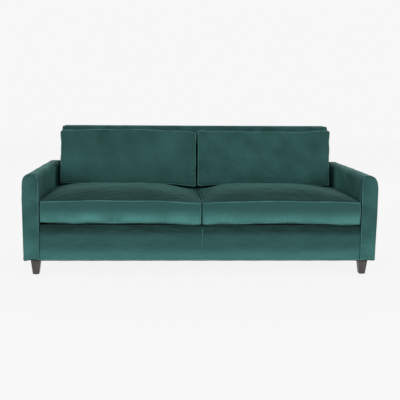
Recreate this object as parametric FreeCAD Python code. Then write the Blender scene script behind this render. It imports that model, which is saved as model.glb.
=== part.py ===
"""A low three-seat sofa with track arms: timber frame, zigzag springs, foam, fitted velvet covers,
two loose seat cushions, two loose back cushions and four tapered legs.

Millimetres. +X runs along the seat, +Y to the rear, +Z up. The origin is on the floor, at the middle
of the sofa's box. Left and right are as seen by someone who faces the sofa, so left is -X.
"""

import FreeCAD
import Part

import math
import os

# Overall sizes
width = 2060.0
depth = 884.0
height = 845.0
arm_height = 594.0
arm_width = 92.0
hem_height = 91.0

# Covers, piping and padding
cover_wall = 2.0
cord_radius = 2.8
cord_angle = 22.5
hem_corner_radius = 11.0
clearance = 0.3
frame_play = 1.0
least_radius = 1.0
arm_foam = 11.0
arm_outer_radius = 45.0
arm_inner_radius = 32.0
border_recess = 5.0
border_foam = 10.0
border_edge_radius = 12.0

# Timber
board_wall = 3.0
rail_thickness = 25.0
arm_rail_height = 70.0
arm_post_depth = 40.0
arm_top_rail_height = 35.0
rail_top = 280.0
centre_rail_thickness = 30.0
centre_rail_drop = 40.0
block_leg = 60.0
block_height = 60.0
block_lift = 10.0

# Back frame
back_depth_at_deck = 130.0
back_lean = 60.0
back_side_gap = 1.0
back_top_side_gap = 27.5
back_top_front_radius = 24.0
back_top_rear_radius = 12.0
back_top_side_radius = 20.0
back_front_foam = 20.0
back_top_foam = 12.0
back_side_foam = 10.0
back_rear_wadding = 5.0
back_post_width = 45.0
back_top_rail_height = 36.0
back_lower_rail_height = 45.0
back_lower_rail_lift = 6.0
back_lower_rail_thickness = 30.0

# Webbing on the back
web_wall = 1.5
web_width = 50.0
web_clearance = 0.1
cross_webs = 4
upright_webs_per_side = 4

# Seat platform
springs_per_cushion = 5
spring_legs = 25
spring_reach = 15.0
spring_wire_radius = 1.9
clip_width = 24.0
clip_length = 16.0
clip_wall = 1.5
clip_play = 0.1
pad_thickness = 6.0
deck_wall = 2.0
dust_cloth_wall = 1.0
dust_cloth_inset = 14.0

# Legs
leg_top = 56.0
leg_foot = 35.0
leg_edge = 1.5
leg_inset_x = 65.0
leg_setback = 30.0
plate_side = 60.0
plate_wall = 2.5
glide_radius = 11.0
glide_wall = 3.0
glide_pin_radius = 1.5
glide_pin_length = 12.0

# Fasteners
bolt_radius = 4.0
bolt_clearance = 0.2
leg_bolt_depth = 45.0
leg_bolt_rise = 50.0
arm_bolt_length = 75.0
arm_bolt_head_radius = 7.5
arm_bolt_head_height = 5.5
arm_bolt_stand = 25.0
screw_radius = 2.5
screw_clearance = 0.1
screw_length = 60.0
screw_low = 45.0
screw_high = 145.0

# Seat cushions
cushion_proud = 12.0
seat_under_crown = 15.3
seat_border = 126.0
seat_crown = 58.0
seat_corner_radius = 26.0
seat_crown_side_reach = 250.0
seat_crown_flat = 170.0
seat_crown_rear_reach = 320.0
seat_under_reach = 60.0
cushion_ear = 1.3
cushion_play = 0.4
corner_growth = 0.15
border_bulge = 2.0
crown_steps = 6
under_steps = 3

# Back cushions
back_cushion_side_gap = 31.0
back_cushion_stand = 8.0
back_cushion_height = 360.0
back_cushion_border = 126.0
back_cushion_crown = 36.0
back_cushion_rear_crown = 12.0
back_corner_radius = 28.0
back_crown_top_reach = 110.0
back_crown_side_reach = 200.0
back_crown_flat = 138.0
back_under_reach = 36.0
core_clearance = 0.5

# Cushion zips
zip_length = 760.0
zip_tape = 12.0
zip_chain = 6.0
zip_chain_stand = 1.8
slider_length = 13.0
slider_width = 11.0
slider_stand = 4.2
slider_clearance = 0.3
pull_length = 22.0
pull_width = 6.0
pull_wall = 1.0
zip_end_margin = 14.0

# Places worked out from the sizes above
x_out = width / 2
x_in = x_out - arm_width
y_front = -depth / 2
y_rear = depth / 2
y_arm = y_front + cushion_proud
y_cover_rear = y_rear - cover_wall
y_back_deck = y_cover_rear - back_depth_at_deck
z_body = hem_height + 2 * cord_radius + clearance
arm_skin = cover_wall + arm_foam
y_post = y_arm + arm_skin
x_board_out = x_out - arm_skin
x_board_in = x_in + arm_skin
x_end_rail = x_board_in - rail_thickness
z_arm_rail = z_body + arm_rail_height
z_arm_top_rail = arm_height - arm_skin - arm_top_rail_height
y_border = y_arm + border_recess
y_front_rail = y_border + cover_wall + border_foam
y_springs_front = y_front_rail + rail_thickness / 2
y_seat_rail = y_back_deck - rail_thickness
y_springs_rear = y_seat_rail + rail_thickness / 2
z_wire = rail_top + clip_wall + clip_play + spring_wire_radius
z_pad = z_wire + spring_wire_radius + clip_play + clip_wall + clearance
z_deck = z_pad + pad_thickness
z_seat = z_deck + deck_wall
seat_welt_low = z_seat + cushion_play + seat_under_crown
seat_welt_high = seat_welt_low + seat_border
back_cushion_foot = seat_welt_high + back_cushion_stand
back_rake = back_lean / (height - z_seat)
half_width_at_deck = x_in - back_side_gap
half_width_at_top = x_in - back_top_side_gap
back_side_slope = (half_width_at_deck - half_width_at_top) / (height - z_seat)
z_leg_plate = z_body - plate_wall
z_inside_cover = rail_top + clearance
cord_stand = cord_radius + clearance
cord_out = cord_stand * math.cos(math.radians(cord_angle))
cord_up = cord_stand * math.sin(math.radians(cord_angle))
cord_envelope = cord_out + cord_radius
back_post_front = cover_wall + back_front_foam
back_rear_timber = y_cover_rear - back_rear_wadding
z_back_timber = height - cover_wall - back_top_foam
z_back_post = z_back_timber - back_top_rail_height
far = 3000.0
overcut = 1.0


def vec(x, y, z):
    return FreeCAD.Vector(x, y, z)


def box(x0, x1, y0, y1, z0, z1):
    """A block between two corners."""
    return Part.makeBox(x1 - x0, y1 - y0, z1 - z0, vec(x0, y0, z0))


def rod(x, y, z, radius, length, direction):
    return Part.makeCylinder(radius, length, vec(x, y, z), direction)


def mirrored(shape):
    """The same piece for the sofa's right side."""
    return shape.mirror(vec(0, 0, 0), vec(1, 0, 0))


def rounded_edges(corners, closed=True):
    """Edges of a flat outline through (u, v, radius) corners, as straight runs and tangent arcs.
    The outline is drawn in the plane of X and Y."""
    count = len(corners)
    starts, ends, middles = [], [], []
    for i in range(count):
        u, v, radius = corners[i]
        here = vec(u, v, 0)
        if not closed and i in (0, count - 1):
            radius = 0
        before = vec(*corners[i - 1][:2], 0) - here
        after = vec(*corners[(i + 1) % count][:2], 0) - here
        if radius <= 0:
            starts.append(here)
            ends.append(here)
            middles.append(None)
            continue
        before.normalize()
        after.normalize()
        half = before.getAngle(after) / 2
        run = radius / math.tan(half)
        bisector = before + after
        bisector.normalize()
        centre = here + bisector * (radius / math.sin(half))
        starts.append(here + before * run)
        ends.append(here + after * run)
        middles.append(centre - bisector * radius)
    edges = []
    for i in range(count):
        if middles[i] is not None:
            edges.append(Part.Arc(starts[i], middles[i], ends[i]).toShape())
        last = i == count - 1
        if last and not closed:
            break
        target = starts[(i + 1) % count]
        if (target - ends[i]).Length > 1e-6:
            edges.append(Part.LineSegment(ends[i], target).toShape())
    return edges


def flat_face(corners):
    return Part.Face(Part.Wire(rounded_edges(corners)))


def along_y(corners, y0, y1):
    """An (x, z) outline pushed from y0 to y1."""
    face = flat_face(corners)
    face.rotate(vec(0, 0, 0), vec(1, 0, 0), 90)
    face.translate(vec(0, y1, 0))
    return face.extrude(vec(0, y0 - y1, 0))


def along_x(corners, x0, x1):
    """A (y, z) outline pushed from x0 to x1."""
    face = flat_face(corners)
    face.rotate(vec(0, 0, 0), vec(1, 0, 0), 90)
    face.rotate(vec(0, 0, 0), vec(0, 0, 1), 90)
    face.translate(vec(x0, 0, 0))
    return face.extrude(vec(x1 - x0, 0, 0))


def tube(wire, radius):
    """A cord of round section along a wire."""
    edge = wire.OrderedEdges[0]
    start = edge.valueAt(edge.FirstParameter)
    heading = edge.tangentAt(edge.FirstParameter)
    circle = Part.Wire(Part.Circle(start, heading, radius).toShape())
    return wire.makePipeShell([circle], True, False)


def ring(x0, x1, y0, y1, radius, ears, z):
    """A rounded rectangle whose sides pull in between its corners. ears holds, for the front, right,
    rear and left side, the angle in degrees by which the side's ends turn out; 0 is a straight side."""
    centres = [(x1 - radius, y0 + radius), (x1 - radius, y1 - radius),
               (x0 + radius, y1 - radius), (x0 + radius, y0 + radius)]

    def rim(corner, degrees):
        angle = math.radians(degrees)
        cx, cy = centres[corner]
        return vec(cx + radius * math.cos(angle), cy + radius * math.sin(angle), z)

    edges = []
    for corner in range(4):
        begin = -90 + 90 * corner - ears[corner]
        finish = 90 * corner + ears[(corner + 1) % 4]
        edges.append(Part.Arc(rim(corner, begin), rim(corner, (begin + finish) / 2),
                              rim(corner, finish)).toShape())
        following = (corner + 1) % 4
        side_start = rim(corner, finish)
        side_end = rim(following, -90 + 90 * following - ears[following])
        turn = math.radians(ears[following])
        if turn == 0:
            edges.append(Part.LineSegment(side_start, side_end).toShape())
            continue
        chord = side_end - side_start
        inward = vec(-chord.y, chord.x, 0)
        inward.normalize()
        sag = chord.Length / 2 * math.tan(turn / 2)
        middle = (side_start + side_end) / 2 + inward * sag
        edges.append(Part.Arc(side_start, middle, side_end).toShape())
    return Part.Wire(edges)


def crown(welt, rise, reaches, steps, ramp=False):
    """Levels of a cushion's face from its welt to its flat middle, each (z, front, side, rear). The
    face is a quarter ellipse that draws in by the reaches; a ramp is straight at the rear instead."""
    levels = []
    for step in range(1, steps + 1):
        angle = math.radians(90 * step / steps)
        turn = 1 - math.cos(angle)
        front, side, rear = (reach * turn for reach in reaches)
        if ramp:
            rear = reaches[2] * math.sin(angle)
        levels.append((welt + rise * math.sin(angle), front, side, rear))
    return levels


def boxed_levels(under, welt_low, welt_high, over):
    """Every level of a cushion from its underside over its border to its face."""
    middle = (welt_low + welt_high) / 2
    border = [(welt_low, 0, 0, 0), (middle, -border_bulge, -border_bulge, 0), (welt_high, 0, 0, 0)]
    return under[::-1] + border + over


def pillow(outline, levels, radius, ears, shrink):
    """A boxed cushion. outline is (x0, x1, y0, y1); each level is (z, front, side, rear) with what the
    outline draws in there. shrink makes the smaller shape of what lies inside a wall."""
    x0, x1, y0, y1 = outline
    middle = (levels[0][0] + levels[-1][0]) / 2
    wires = []
    for z, front, side, rear in levels:
        level = z + shrink if z < middle else z - shrink
        corner = radius + corner_growth * side - shrink / 2
        wires.append(ring(x0 + side + shrink, x1 - side - shrink, y0 + front + shrink,
                          y1 - rear - shrink, corner, ears, level))
    return Part.makeLoft(wires, True, True)


def arm_outline(inset):
    """The left arm's section: square at the bottom, rounded over the top."""
    return [(-x_out + inset, z_body, 0),
            (-x_in - inset, z_body, 0),
            (-x_in - inset, arm_height - inset, arm_inner_radius - inset),
            (-x_out + inset, arm_height - inset, arm_outer_radius - inset)]


def back_face_y(z):
    """Where the inside back's cover lies at a height."""
    return y_back_deck + (z - z_seat) * back_rake


def back_half_width(z):
    return half_width_at_top + (height - z) * back_side_slope


def back_block(front, top, side, y_end, z_bottom):
    """The back's whole form above z_bottom, drawn in by front, top and side."""
    z_top = height - top
    front_radius = max(back_top_front_radius - front, least_radius)
    rear_radius = max(back_top_rear_radius - top, 0)
    side_radius = max(back_top_side_radius - side, least_radius)
    profile = [(back_face_y(z_bottom) + front, z_bottom, 0),
               (y_end, z_bottom, 0),
               (y_end, z_top, rear_radius),
               (back_face_y(z_top) + front, z_top, front_radius)]
    low, high = back_half_width(z_bottom) - side, back_half_width(z_top) - side
    outline = [(-low, z_bottom, 0), (low, z_bottom, 0), (high, z_top, side_radius),
               (-high, z_top, side_radius)]
    return along_x(profile, -x_out, x_out).common(along_y(outline, -depth, depth))


def raked_slab(x0, x1, z0, z1, stand, thickness):
    """A flat piece parallel to the inside back, stand behind its cover's face."""
    y0, y1 = back_face_y(z0) + stand, back_face_y(z1) + stand
    return along_x([(y0, z0, 0), (y0 + thickness, z0, 0), (y1 + thickness, z1, 0), (y1, z1, 0)],
                   x0, x1)


def leg_places():
    for y in (y_arm + leg_setback + leg_top / 2, y_rear - leg_setback - leg_top / 2):
        for x in (-x_out + leg_inset_x, x_out - leg_inset_x):
            yield x, y


def screw_places():
    """Screws through an end rail into the ends of the rails that meet it: (y, z)."""
    rail_centres = (y_springs_front, y_springs_rear, back_rear_timber - rail_thickness / 2)
    for y in rail_centres:
        for rise in (screw_low, screw_high):
            yield y, z_body + rise


def arm_bolt_places():
    """Three bolts a side, the outer two just clear of the corner blocks: (y, z)."""
    first = y_front_rail + rail_thickness + block_leg + arm_bolt_stand
    last = y_seat_rail - block_leg - arm_bolt_stand
    for y in (first, (first + last) / 2, last):
        yield y, z_body + arm_rail_height / 2


def spring_places():
    """The middle of each spring across the seat."""
    pitch = x_in / springs_per_cushion
    for side in (-1, 1):
        for i in range(springs_per_cushion):
            yield side * (i + 0.5) * pitch


# Base frame

def end_rails():
    """Both end rails, with their holes for the arm bolts and the screws."""
    rail = box(-x_board_in, -x_end_rail, y_front_rail, back_rear_timber, z_body, rail_top)
    for y, z in arm_bolt_places():
        rail = rail.cut(rod(-x_board_in, y, z, bolt_radius + bolt_clearance, far, vec(1, 0, 0)))
    for y, z in screw_places():
        rail = rail.cut(rod(-x_board_in, y, z, screw_radius + screw_clearance, far, vec(1, 0, 0)))
    return Part.makeCompound([rail, mirrored(rail)])


def cross_rail(y0):
    """A rail between the end rails, bored at both ends for its screws."""
    rail = box(-x_end_rail, x_end_rail, y0, y0 + rail_thickness, z_body, rail_top)
    bore = screw_radius + screw_clearance
    for rise in (screw_low, screw_high):
        for side in (-1, 1):
            tip = side * (x_board_in - screw_length - clearance)
            rail = rail.cut(rod(tip, y0 + rail_thickness / 2, z_body + rise, bore, far, vec(side, 0, 0)))
    return rail


def frame_screws():
    screws = []
    for y, z in screw_places():
        for side in (-1, 1):
            screws.append(rod(side * x_board_in, y, z, screw_radius, screw_length, vec(-side, 0, 0)))
    return Part.makeCompound(screws)


def centre_rail():
    half = centre_rail_thickness / 2
    return box(-half, half, y_front_rail + rail_thickness, y_seat_rail, z_body, rail_top - centre_rail_drop)


def corner_blocks():
    """Glued three-cornered blocks inside the base's corners."""
    blocks = []
    z0 = z_body + block_lift
    front, rear = y_front_rail + rail_thickness, y_seat_rail
    for y, inward in ((front, 1), (rear, -1)):
        for side in (-1, 1):
            x = side * x_end_rail
            points = [vec(x, y, z0), vec(x - side * block_leg, y, z0), vec(x, y + inward * block_leg, z0)]
            face = Part.Face(Part.makePolygon(points + points[:1]))
            blocks.append(face.extrude(vec(0, 0, block_height)))
    return Part.makeCompound(blocks)


# Seat platform

def zigzag_spring(x):
    """One wire that runs from the front rail to the seat rail in even legs and half turns."""
    pitch = (y_springs_rear - y_springs_front) / (spring_legs - 1)
    edges = []
    for i in range(spring_legs):
        y = y_springs_front + i * pitch
        side = 1 if i % 2 == 0 else -1
        near, away = x - side * spring_reach, x + side * spring_reach
        edges.append(Part.LineSegment(vec(near, y, z_wire), vec(away, y, z_wire)).toShape())
        if i < spring_legs - 1:
            bulge = vec(away + side * pitch / 2, y + pitch / 2, z_wire)
            edges.append(Part.Arc(vec(away, y, z_wire), bulge, vec(away, y + pitch, z_wire)).toShape())
    return tube(Part.Wire(edges), spring_wire_radius)


def seat_springs():
    return Part.makeCompound([zigzag_spring(x) for x in spring_places()])


def spring_clips():
    """Folded steel clips that hold each spring's end legs on the rails."""
    clips = []
    mouth = 2 * (spring_wire_radius + clip_play)
    for x in spring_places():
        for y, outward in ((y_springs_front, -1), (y_springs_rear, 1)):
            x0, x1 = x - clip_width / 2, x + clip_width / 2
            heel = y + outward * (clip_length / 2)
            toe = y - outward * (clip_length / 2)
            web = heel - outward * clip_wall
            low, high = min(heel, toe), max(heel, toe)
            foot = box(x0, x1, low, high, rail_top, rail_top + clip_wall)
            lip = foot.translated(vec(0, 0, clip_wall + mouth))
            spine = box(x0, x1, min(heel, web), max(heel, web), rail_top, rail_top + 2 * clip_wall + mouth)
            clips.append(foot.fuse([lip, spine]).removeSplitter())
    return Part.makeCompound(clips)


def seat_pad():
    y_end = back_face_y(z_pad) - clearance
    return box(-x_in + clearance, x_in - clearance, y_front_rail, y_end, z_pad, z_deck)


def deck_cloth():
    y0 = y_front_rail + rail_thickness + clearance
    y_end = back_face_y(z_deck) - clearance
    return box(-x_in + clearance, x_in - clearance, y0, y_end, z_deck, z_seat)


def dust_cloth():
    half = plate_side / 2 + clearance
    cloth = box(-x_out + dust_cloth_inset, x_out - dust_cloth_inset, y_arm + dust_cloth_inset,
                y_rear - dust_cloth_inset, z_body - dust_cloth_wall, z_body)
    for x, y in leg_places():
        cloth = cloth.cut(box(x - half, x + half, y - half, y + half, 0, height))
    return cloth


# Front border

def border_block(inset, y_end, z_bottom):
    """The padded front under the seat cushions, drawn in by inset."""
    radius = max(border_edge_radius - inset, least_radius)
    profile = [(y_border + inset, z_bottom, 0), (y_end, z_bottom, 0), (y_end, z_seat - inset, 0),
               (y_border + inset, z_seat - inset, radius)]
    side = x_in - clearance
    return along_x(profile, -side, side)


def front_border_cover():
    y_end = y_front_rail + rail_thickness
    hollow = box(-x_out, x_out, y_border + cover_wall + border_edge_radius, far, 0, z_seat - cover_wall)
    shell = border_block(0, y_end, z_body).cut(border_block(cover_wall, y_end, z_body))
    return shell.cut(hollow)


def front_border_padding():
    y_end = y_front_rail + rail_thickness
    block = border_block(cover_wall, y_end, z_body)
    above_pad = box(-x_out, x_out, y_front_rail, far, 0, z_deck)
    return block.cut(above_pad)


# Arms, modelled for the left side

def inner_relief():
    """The space beside the seat frame, where the inside arm's padding and cover stop short."""
    return box(-x_board_in, 0, y_post, far, 0, z_inside_cover)


def arm_frame():
    """Two posts, the lower rail with its holes for the leg and arm bolts, and the rounded top rail."""
    x0, x1 = -x_board_out + board_wall, -x_board_in - board_wall
    front = box(x0, x1, y_post, y_post + arm_post_depth, z_arm_rail, z_arm_top_rail)
    rear = box(x0, x1, y_cover_rear - arm_post_depth, y_cover_rear, z_arm_rail, z_arm_top_rail)
    lower = box(x0, x1, y_post, y_cover_rear, z_body, z_arm_rail)
    bore = bolt_radius + bolt_clearance
    for x, y in leg_places():
        lower = lower.cut(rod(x, y, 0, bore, z_body + leg_bolt_rise + clearance, vec(0, 0, 1)))
    for y, z in arm_bolt_places():
        tip = -x_end_rail - arm_bolt_length - clearance
        lower = lower.cut(rod(tip, y, z, bore, far, vec(1, 0, 0)))
    top = along_y(arm_outline(arm_skin), y_post, y_cover_rear)
    top = top.common(box(-x_out, 0, -far, far, z_arm_top_rail, height))
    return Part.makeCompound([front, rear, lower, top])


def arm_boards():
    """Thin fibreboard on both faces of the arm frame."""
    outer = box(-x_board_out, -x_board_out + board_wall, y_post, y_cover_rear, z_body, z_arm_top_rail)
    inner = box(-x_board_in - board_wall, -x_board_in, y_post, y_cover_rear, z_body, z_arm_top_rail)
    for y, z in arm_bolt_places():
        bore = rod(-x_board_in - board_wall, y, z, bolt_radius + bolt_clearance, far, vec(1, 0, 0))
        inner = inner.cut(bore)
    return Part.makeCompound([outer, inner])


def arm_padding():
    block = along_y(arm_outline(cover_wall), y_arm + cover_wall, y_cover_rear)
    frame = along_y(arm_outline(arm_skin), y_post, y_rear)
    return block.cut(frame).cut(inner_relief())


def arm_cover():
    block = along_y(arm_outline(0), y_arm + cover_wall, y_cover_rear)
    inside = along_y(arm_outline(cover_wall), y_arm, y_rear)
    return block.cut(inside).cut(inner_relief().translated(vec(0, cover_wall - arm_skin, 0)))


def arm_front_panel():
    return along_y(arm_outline(0), y_arm, y_arm + cover_wall)


def arm_piping():
    """Two cords on the arm's front: up its inner edge and over the corner, and up its outer edge."""
    inset = cord_stand
    path_y = y_arm - cord_stand
    z0 = z_body + clearance
    z_top = arm_height - inset
    inner = [(-x_in - inset, z0, 0), (-x_in - inset, z_top, arm_inner_radius - inset),
             (-(x_in + x_out) / 2, z_top, 0)]
    outer = [(-x_out + inset, z0, 0), (-x_out + inset, arm_height - arm_outer_radius, 0)]
    cords = []
    for corners in (inner, outer):
        wire = Part.Wire(rounded_edges(corners, closed=False))
        wire.rotate(vec(0, 0, 0), vec(1, 0, 0), 90)
        wire.translate(vec(0, path_y, 0))
        cords.append(tube(wire, cord_radius))
    return Part.makeCompound(cords)


def arm_bolts():
    """Bolts through the end rails that hold the arms on the base."""
    bolts = []
    for y, z in arm_bolt_places():
        for side in (-1, 1):
            shank = rod(side * x_end_rail, y, z, bolt_radius, arm_bolt_length, vec(side, 0, 0))
            head = rod(side * x_end_rail, y, z, arm_bolt_head_radius, arm_bolt_head_height, vec(-side, 0, 0))
            bolts.append(shank.fuse(head))
    return Part.makeCompound(bolts)


def hem_cord():
    """The cord round the bottom edge of the whole body."""
    inset = cord_stand
    x, y0, y1 = x_out - inset, y_arm + inset, y_rear - inset
    radius = hem_corner_radius
    corners = [(0, y0, 0), (x, y0, radius), (x, y1, radius), (-x, y1, radius), (-x, y0, radius)]
    wire = Part.Wire(rounded_edges(corners))
    wire.translate(vec(0, 0, hem_height + cord_radius))
    return tube(wire, cord_radius)


def border_seam_cord():
    """The upright cord on the seam in the middle of the front border."""
    z0 = z_body + clearance
    length = z_seat - border_edge_radius - z0
    return rod(0, y_border - cord_stand, z0, cord_radius, length, vec(0, 0, 1))


def body_piping():
    arm_cords = arm_piping()
    cords = [hem_cord(), border_seam_cord()] + arm_cords.Solids + mirrored(arm_cords).Solids
    return Part.makeCompound(cords)


# Back

def back_posts():
    """Two outer posts and one in the middle, notched over the rear rail."""
    notch = back_rear_timber - rail_thickness
    profile = [(back_face_y(z_body) + back_post_front, z_body, 0), (notch, z_body, 0), (notch, rail_top, 0),
               (back_rear_timber, rail_top, 0), (back_rear_timber, z_back_post, 0),
               (back_face_y(z_back_post) + back_post_front, z_back_post, 0)]
    side = cover_wall + back_side_foam
    low = min(x_end_rail, back_half_width(rail_top) - side)
    high = back_half_width(z_back_post) - side
    slab = along_x(profile, -x_out, x_out)
    outer = along_y([(-low, z_body, 0), (-low + back_post_width, z_body, 0),
                     (-low + back_post_width, rail_top, 0), (-high + back_post_width, z_back_post, 0),
                     (-high, z_back_post, 0), (-low, rail_top, 0)], -depth, depth)
    left = slab.common(outer)
    middle = slab.common(box(-back_post_width / 2, back_post_width / 2, -far, far, 0, height))
    return Part.makeCompound([left, mirrored(left), middle])


def back_top_rail():
    block = back_block(back_post_front, cover_wall + back_top_foam, cover_wall + back_side_foam,
                       back_rear_timber, z_inside_cover)
    return block.common(box(-x_out, x_out, -far, far, z_back_post, height))


def back_lower_rail():
    z0 = z_seat + back_lower_rail_lift
    z1 = z0 + back_lower_rail_height
    inner = back_post_width / 2
    outer = back_half_width(z1) - cover_wall - back_side_foam - back_post_width - frame_play
    right = raked_slab(inner, outer, z0, z1, back_post_front, back_lower_rail_thickness)
    return Part.makeCompound([mirrored(right), right])


def back_webbing():
    """Elastic straps over the front of the back frame: across from post to post, then upright."""
    straps = []
    z0 = z_seat + back_lower_rail_lift
    reach = z_back_timber - back_top_front_radius - z0
    stand = back_post_front - web_wall - web_clearance
    pitch = (reach - web_width) / (cross_webs + 1)
    for i in range(1, cross_webs + 1):
        z = z0 + i * pitch
        half = back_half_width(z + web_width) - cover_wall - back_side_foam - frame_play
        straps.append(raked_slab(-half, half, z, z + web_width, stand, web_wall))
    stand -= web_wall + web_clearance
    span = half_width_at_top - cover_wall - back_side_foam - back_post_width
    for side in (-1, 1):
        for i in range(upright_webs_per_side):
            x = side * span * (i + 0.5) / upright_webs_per_side
            straps.append(raked_slab(x - web_width / 2, x + web_width / 2, z0, z0 + reach, stand, web_wall))
    return Part.makeCompound(straps)


def back_padding():
    """Foam over the inside back, the top and the sides, and wadding behind."""
    webs = 2 * (web_wall + web_clearance) + web_clearance
    block = back_block(cover_wall, cover_wall, cover_wall, y_cover_rear, z_inside_cover)
    front = back_post_front - webs
    hollow = back_block(front, cover_wall + back_top_foam, cover_wall + back_side_foam, back_rear_timber,
                        z_body)
    return block.cut(hollow)


def back_cover():
    block = back_block(0, 0, 0, y_cover_rear, z_inside_cover)
    return block.cut(back_block(cover_wall, cover_wall, cover_wall, y_rear, z_body))


def outside_back_cover():
    """One panel over the rear of the back and the ends of both arms."""
    shoulder = back_half_width(arm_height)
    right = [(x_out, z_body, 0), (x_out, arm_height, arm_outer_radius), (shoulder, arm_height, 0),
             (half_width_at_top, height, back_top_side_radius)]
    left = [(-x, z, radius) for x, z, radius in reversed(right)]
    return along_y(right + left, y_cover_rear, y_rear)


# Legs

def leg(x, y):
    """A square leg that tapers evenly to its foot, bored for its bolt and its glide's pin."""
    def square(half, z):
        cut = leg_edge
        points = [(half, -half + cut), (half, half - cut), (half - cut, half), (-half + cut, half),
                  (-half, half - cut), (-half, -half + cut), (-half + cut, -half), (half - cut, -half)]
        corners = [vec(x + dx, y + dy, z) for dx, dy in points]
        return Part.makePolygon(corners + corners[:1])

    body = Part.makeLoft([square(leg_foot / 2, glide_wall), square(leg_top / 2, z_leg_plate)], True, True)
    bolt_hole = rod(x, y, z_body - leg_bolt_depth - clearance, bolt_radius + bolt_clearance, far,
                    vec(0, 0, 1))
    pin_hole = rod(x, y, 0, glide_pin_radius + screw_clearance, glide_wall + glide_pin_length + clearance,
                   vec(0, 0, 1))
    return body.cut(bolt_hole).cut(pin_hole)


def leg_plates():
    plates = []
    half = plate_side / 2
    for x, y in leg_places():
        plate = box(x - half, x + half, y - half, y + half, z_leg_plate, z_body)
        plates.append(plate.cut(rod(x, y, 0, bolt_radius + bolt_clearance, far, vec(0, 0, 1))))
    return Part.makeCompound(plates)


def leg_bolts():
    z0 = z_body - leg_bolt_depth
    length = leg_bolt_depth + leg_bolt_rise
    return Part.makeCompound([rod(x, y, z0, bolt_radius, length, vec(0, 0, 1)) for x, y in leg_places()])


def leg_glides():
    glides = []
    for x, y in leg_places():
        disc = rod(x, y, 0, glide_radius, glide_wall, vec(0, 0, 1))
        pin = rod(x, y, 0, glide_pin_radius, glide_wall + glide_pin_length, vec(0, 0, 1))
        glides.append(disc.fuse(pin))
    return Part.makeCompound(glides)


# Cushions. Each is made lying flat, with its front at the low end of Y and its face up.

def zip_parts(x_middle, y_face, z_middle):
    """A zip in the rear wall of a cushion that lies flat: the slot to cut, the zip and its slider."""
    x0, x1 = x_middle - zip_length / 2, x_middle + zip_length / 2
    tape, chain = zip_tape / 2, zip_chain / 2
    slot = box(x0, x1, y_face - cover_wall - overcut, y_face + overcut, z_middle - tape, z_middle + tape)
    strip = box(x0 + clearance, x1 - clearance, y_face - cover_wall, y_face,
                z_middle - tape + clearance, z_middle + tape - clearance)
    teeth = box(x0 + clearance, x1 - clearance, y_face, y_face + zip_chain_stand,
                z_middle - chain, z_middle + chain)
    zipper = strip.fuse(teeth).removeSplitter()
    end = x1 - zip_end_margin
    low = y_face + slider_clearance
    block = box(end - slider_length, end, low, y_face + slider_stand,
                z_middle - slider_width / 2, z_middle + slider_width / 2)
    reach = chain + slider_clearance
    channel = box(end - slider_length - overcut, end + overcut, low - overcut,
                  y_face + zip_chain_stand + slider_clearance, z_middle - reach, z_middle + reach)
    pull = box(end - slider_length - pull_length, end, y_face + slider_stand,
               y_face + slider_stand + pull_wall, z_middle - pull_width / 2, z_middle + pull_width / 2)
    slider = block.cut(channel).fuse(pull).removeSplitter()
    return slot, zipper, slider


def cushion(envelope, levels, radius, ears, welts, zip_z):
    """Cover, core, piping, zip and slider of one cushion. envelope is its outline with the piping."""
    x0, x1, y0, y1 = envelope
    outline = (x0 + cord_envelope, x1 - cord_envelope, y0 + cord_envelope, y1 - cord_envelope)
    outer = pillow(outline, levels, radius, ears, 0)
    inner = pillow(outline, levels, radius, ears, cover_wall)
    core = pillow(outline, levels, radius, ears, cover_wall + core_clearance)
    slot, zipper, slider = zip_parts((x0 + x1) / 2, outline[3], zip_z)
    cover = outer.cut(inner).cut(slot)
    cords = []
    for z, lean in welts:
        reach = (outline[0] - cord_out, outline[1] + cord_out, outline[2] - cord_out, outline[3] + cord_out)
        cords.append(tube(ring(*reach, radius + cord_out, ears, z + lean * cord_up), cord_radius))
    return {"cover": cover, "core": core, "piping": Part.makeCompound(cords), "zip": zipper,
            "zip_slider": slider}


def seat_cushion():
    """The left seat cushion, crowned on top and almost flat where it lies on the deck."""
    envelope = (-x_in + cushion_play, -cushion_play, y_front, y_back_deck - cushion_play)
    under = crown(seat_welt_low, -seat_under_crown, (seat_under_reach,) * 3, under_steps)
    length = envelope[3] - envelope[2] - 2 * cord_envelope
    front_reach = length - seat_crown_flat - seat_crown_rear_reach
    reaches = (front_reach, seat_crown_side_reach, seat_crown_rear_reach)
    over = crown(seat_welt_high, seat_crown, reaches, crown_steps, ramp=True)
    levels = boxed_levels(under, seat_welt_low, seat_welt_high, over)
    middle = (seat_welt_low + seat_welt_high) / 2
    ears = (cushion_ear, cushion_ear, 0, cushion_ear)
    welts = ((seat_welt_low, -1), (seat_welt_high, 1))
    return cushion(envelope, levels, seat_corner_radius, ears, welts, middle)


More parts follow.
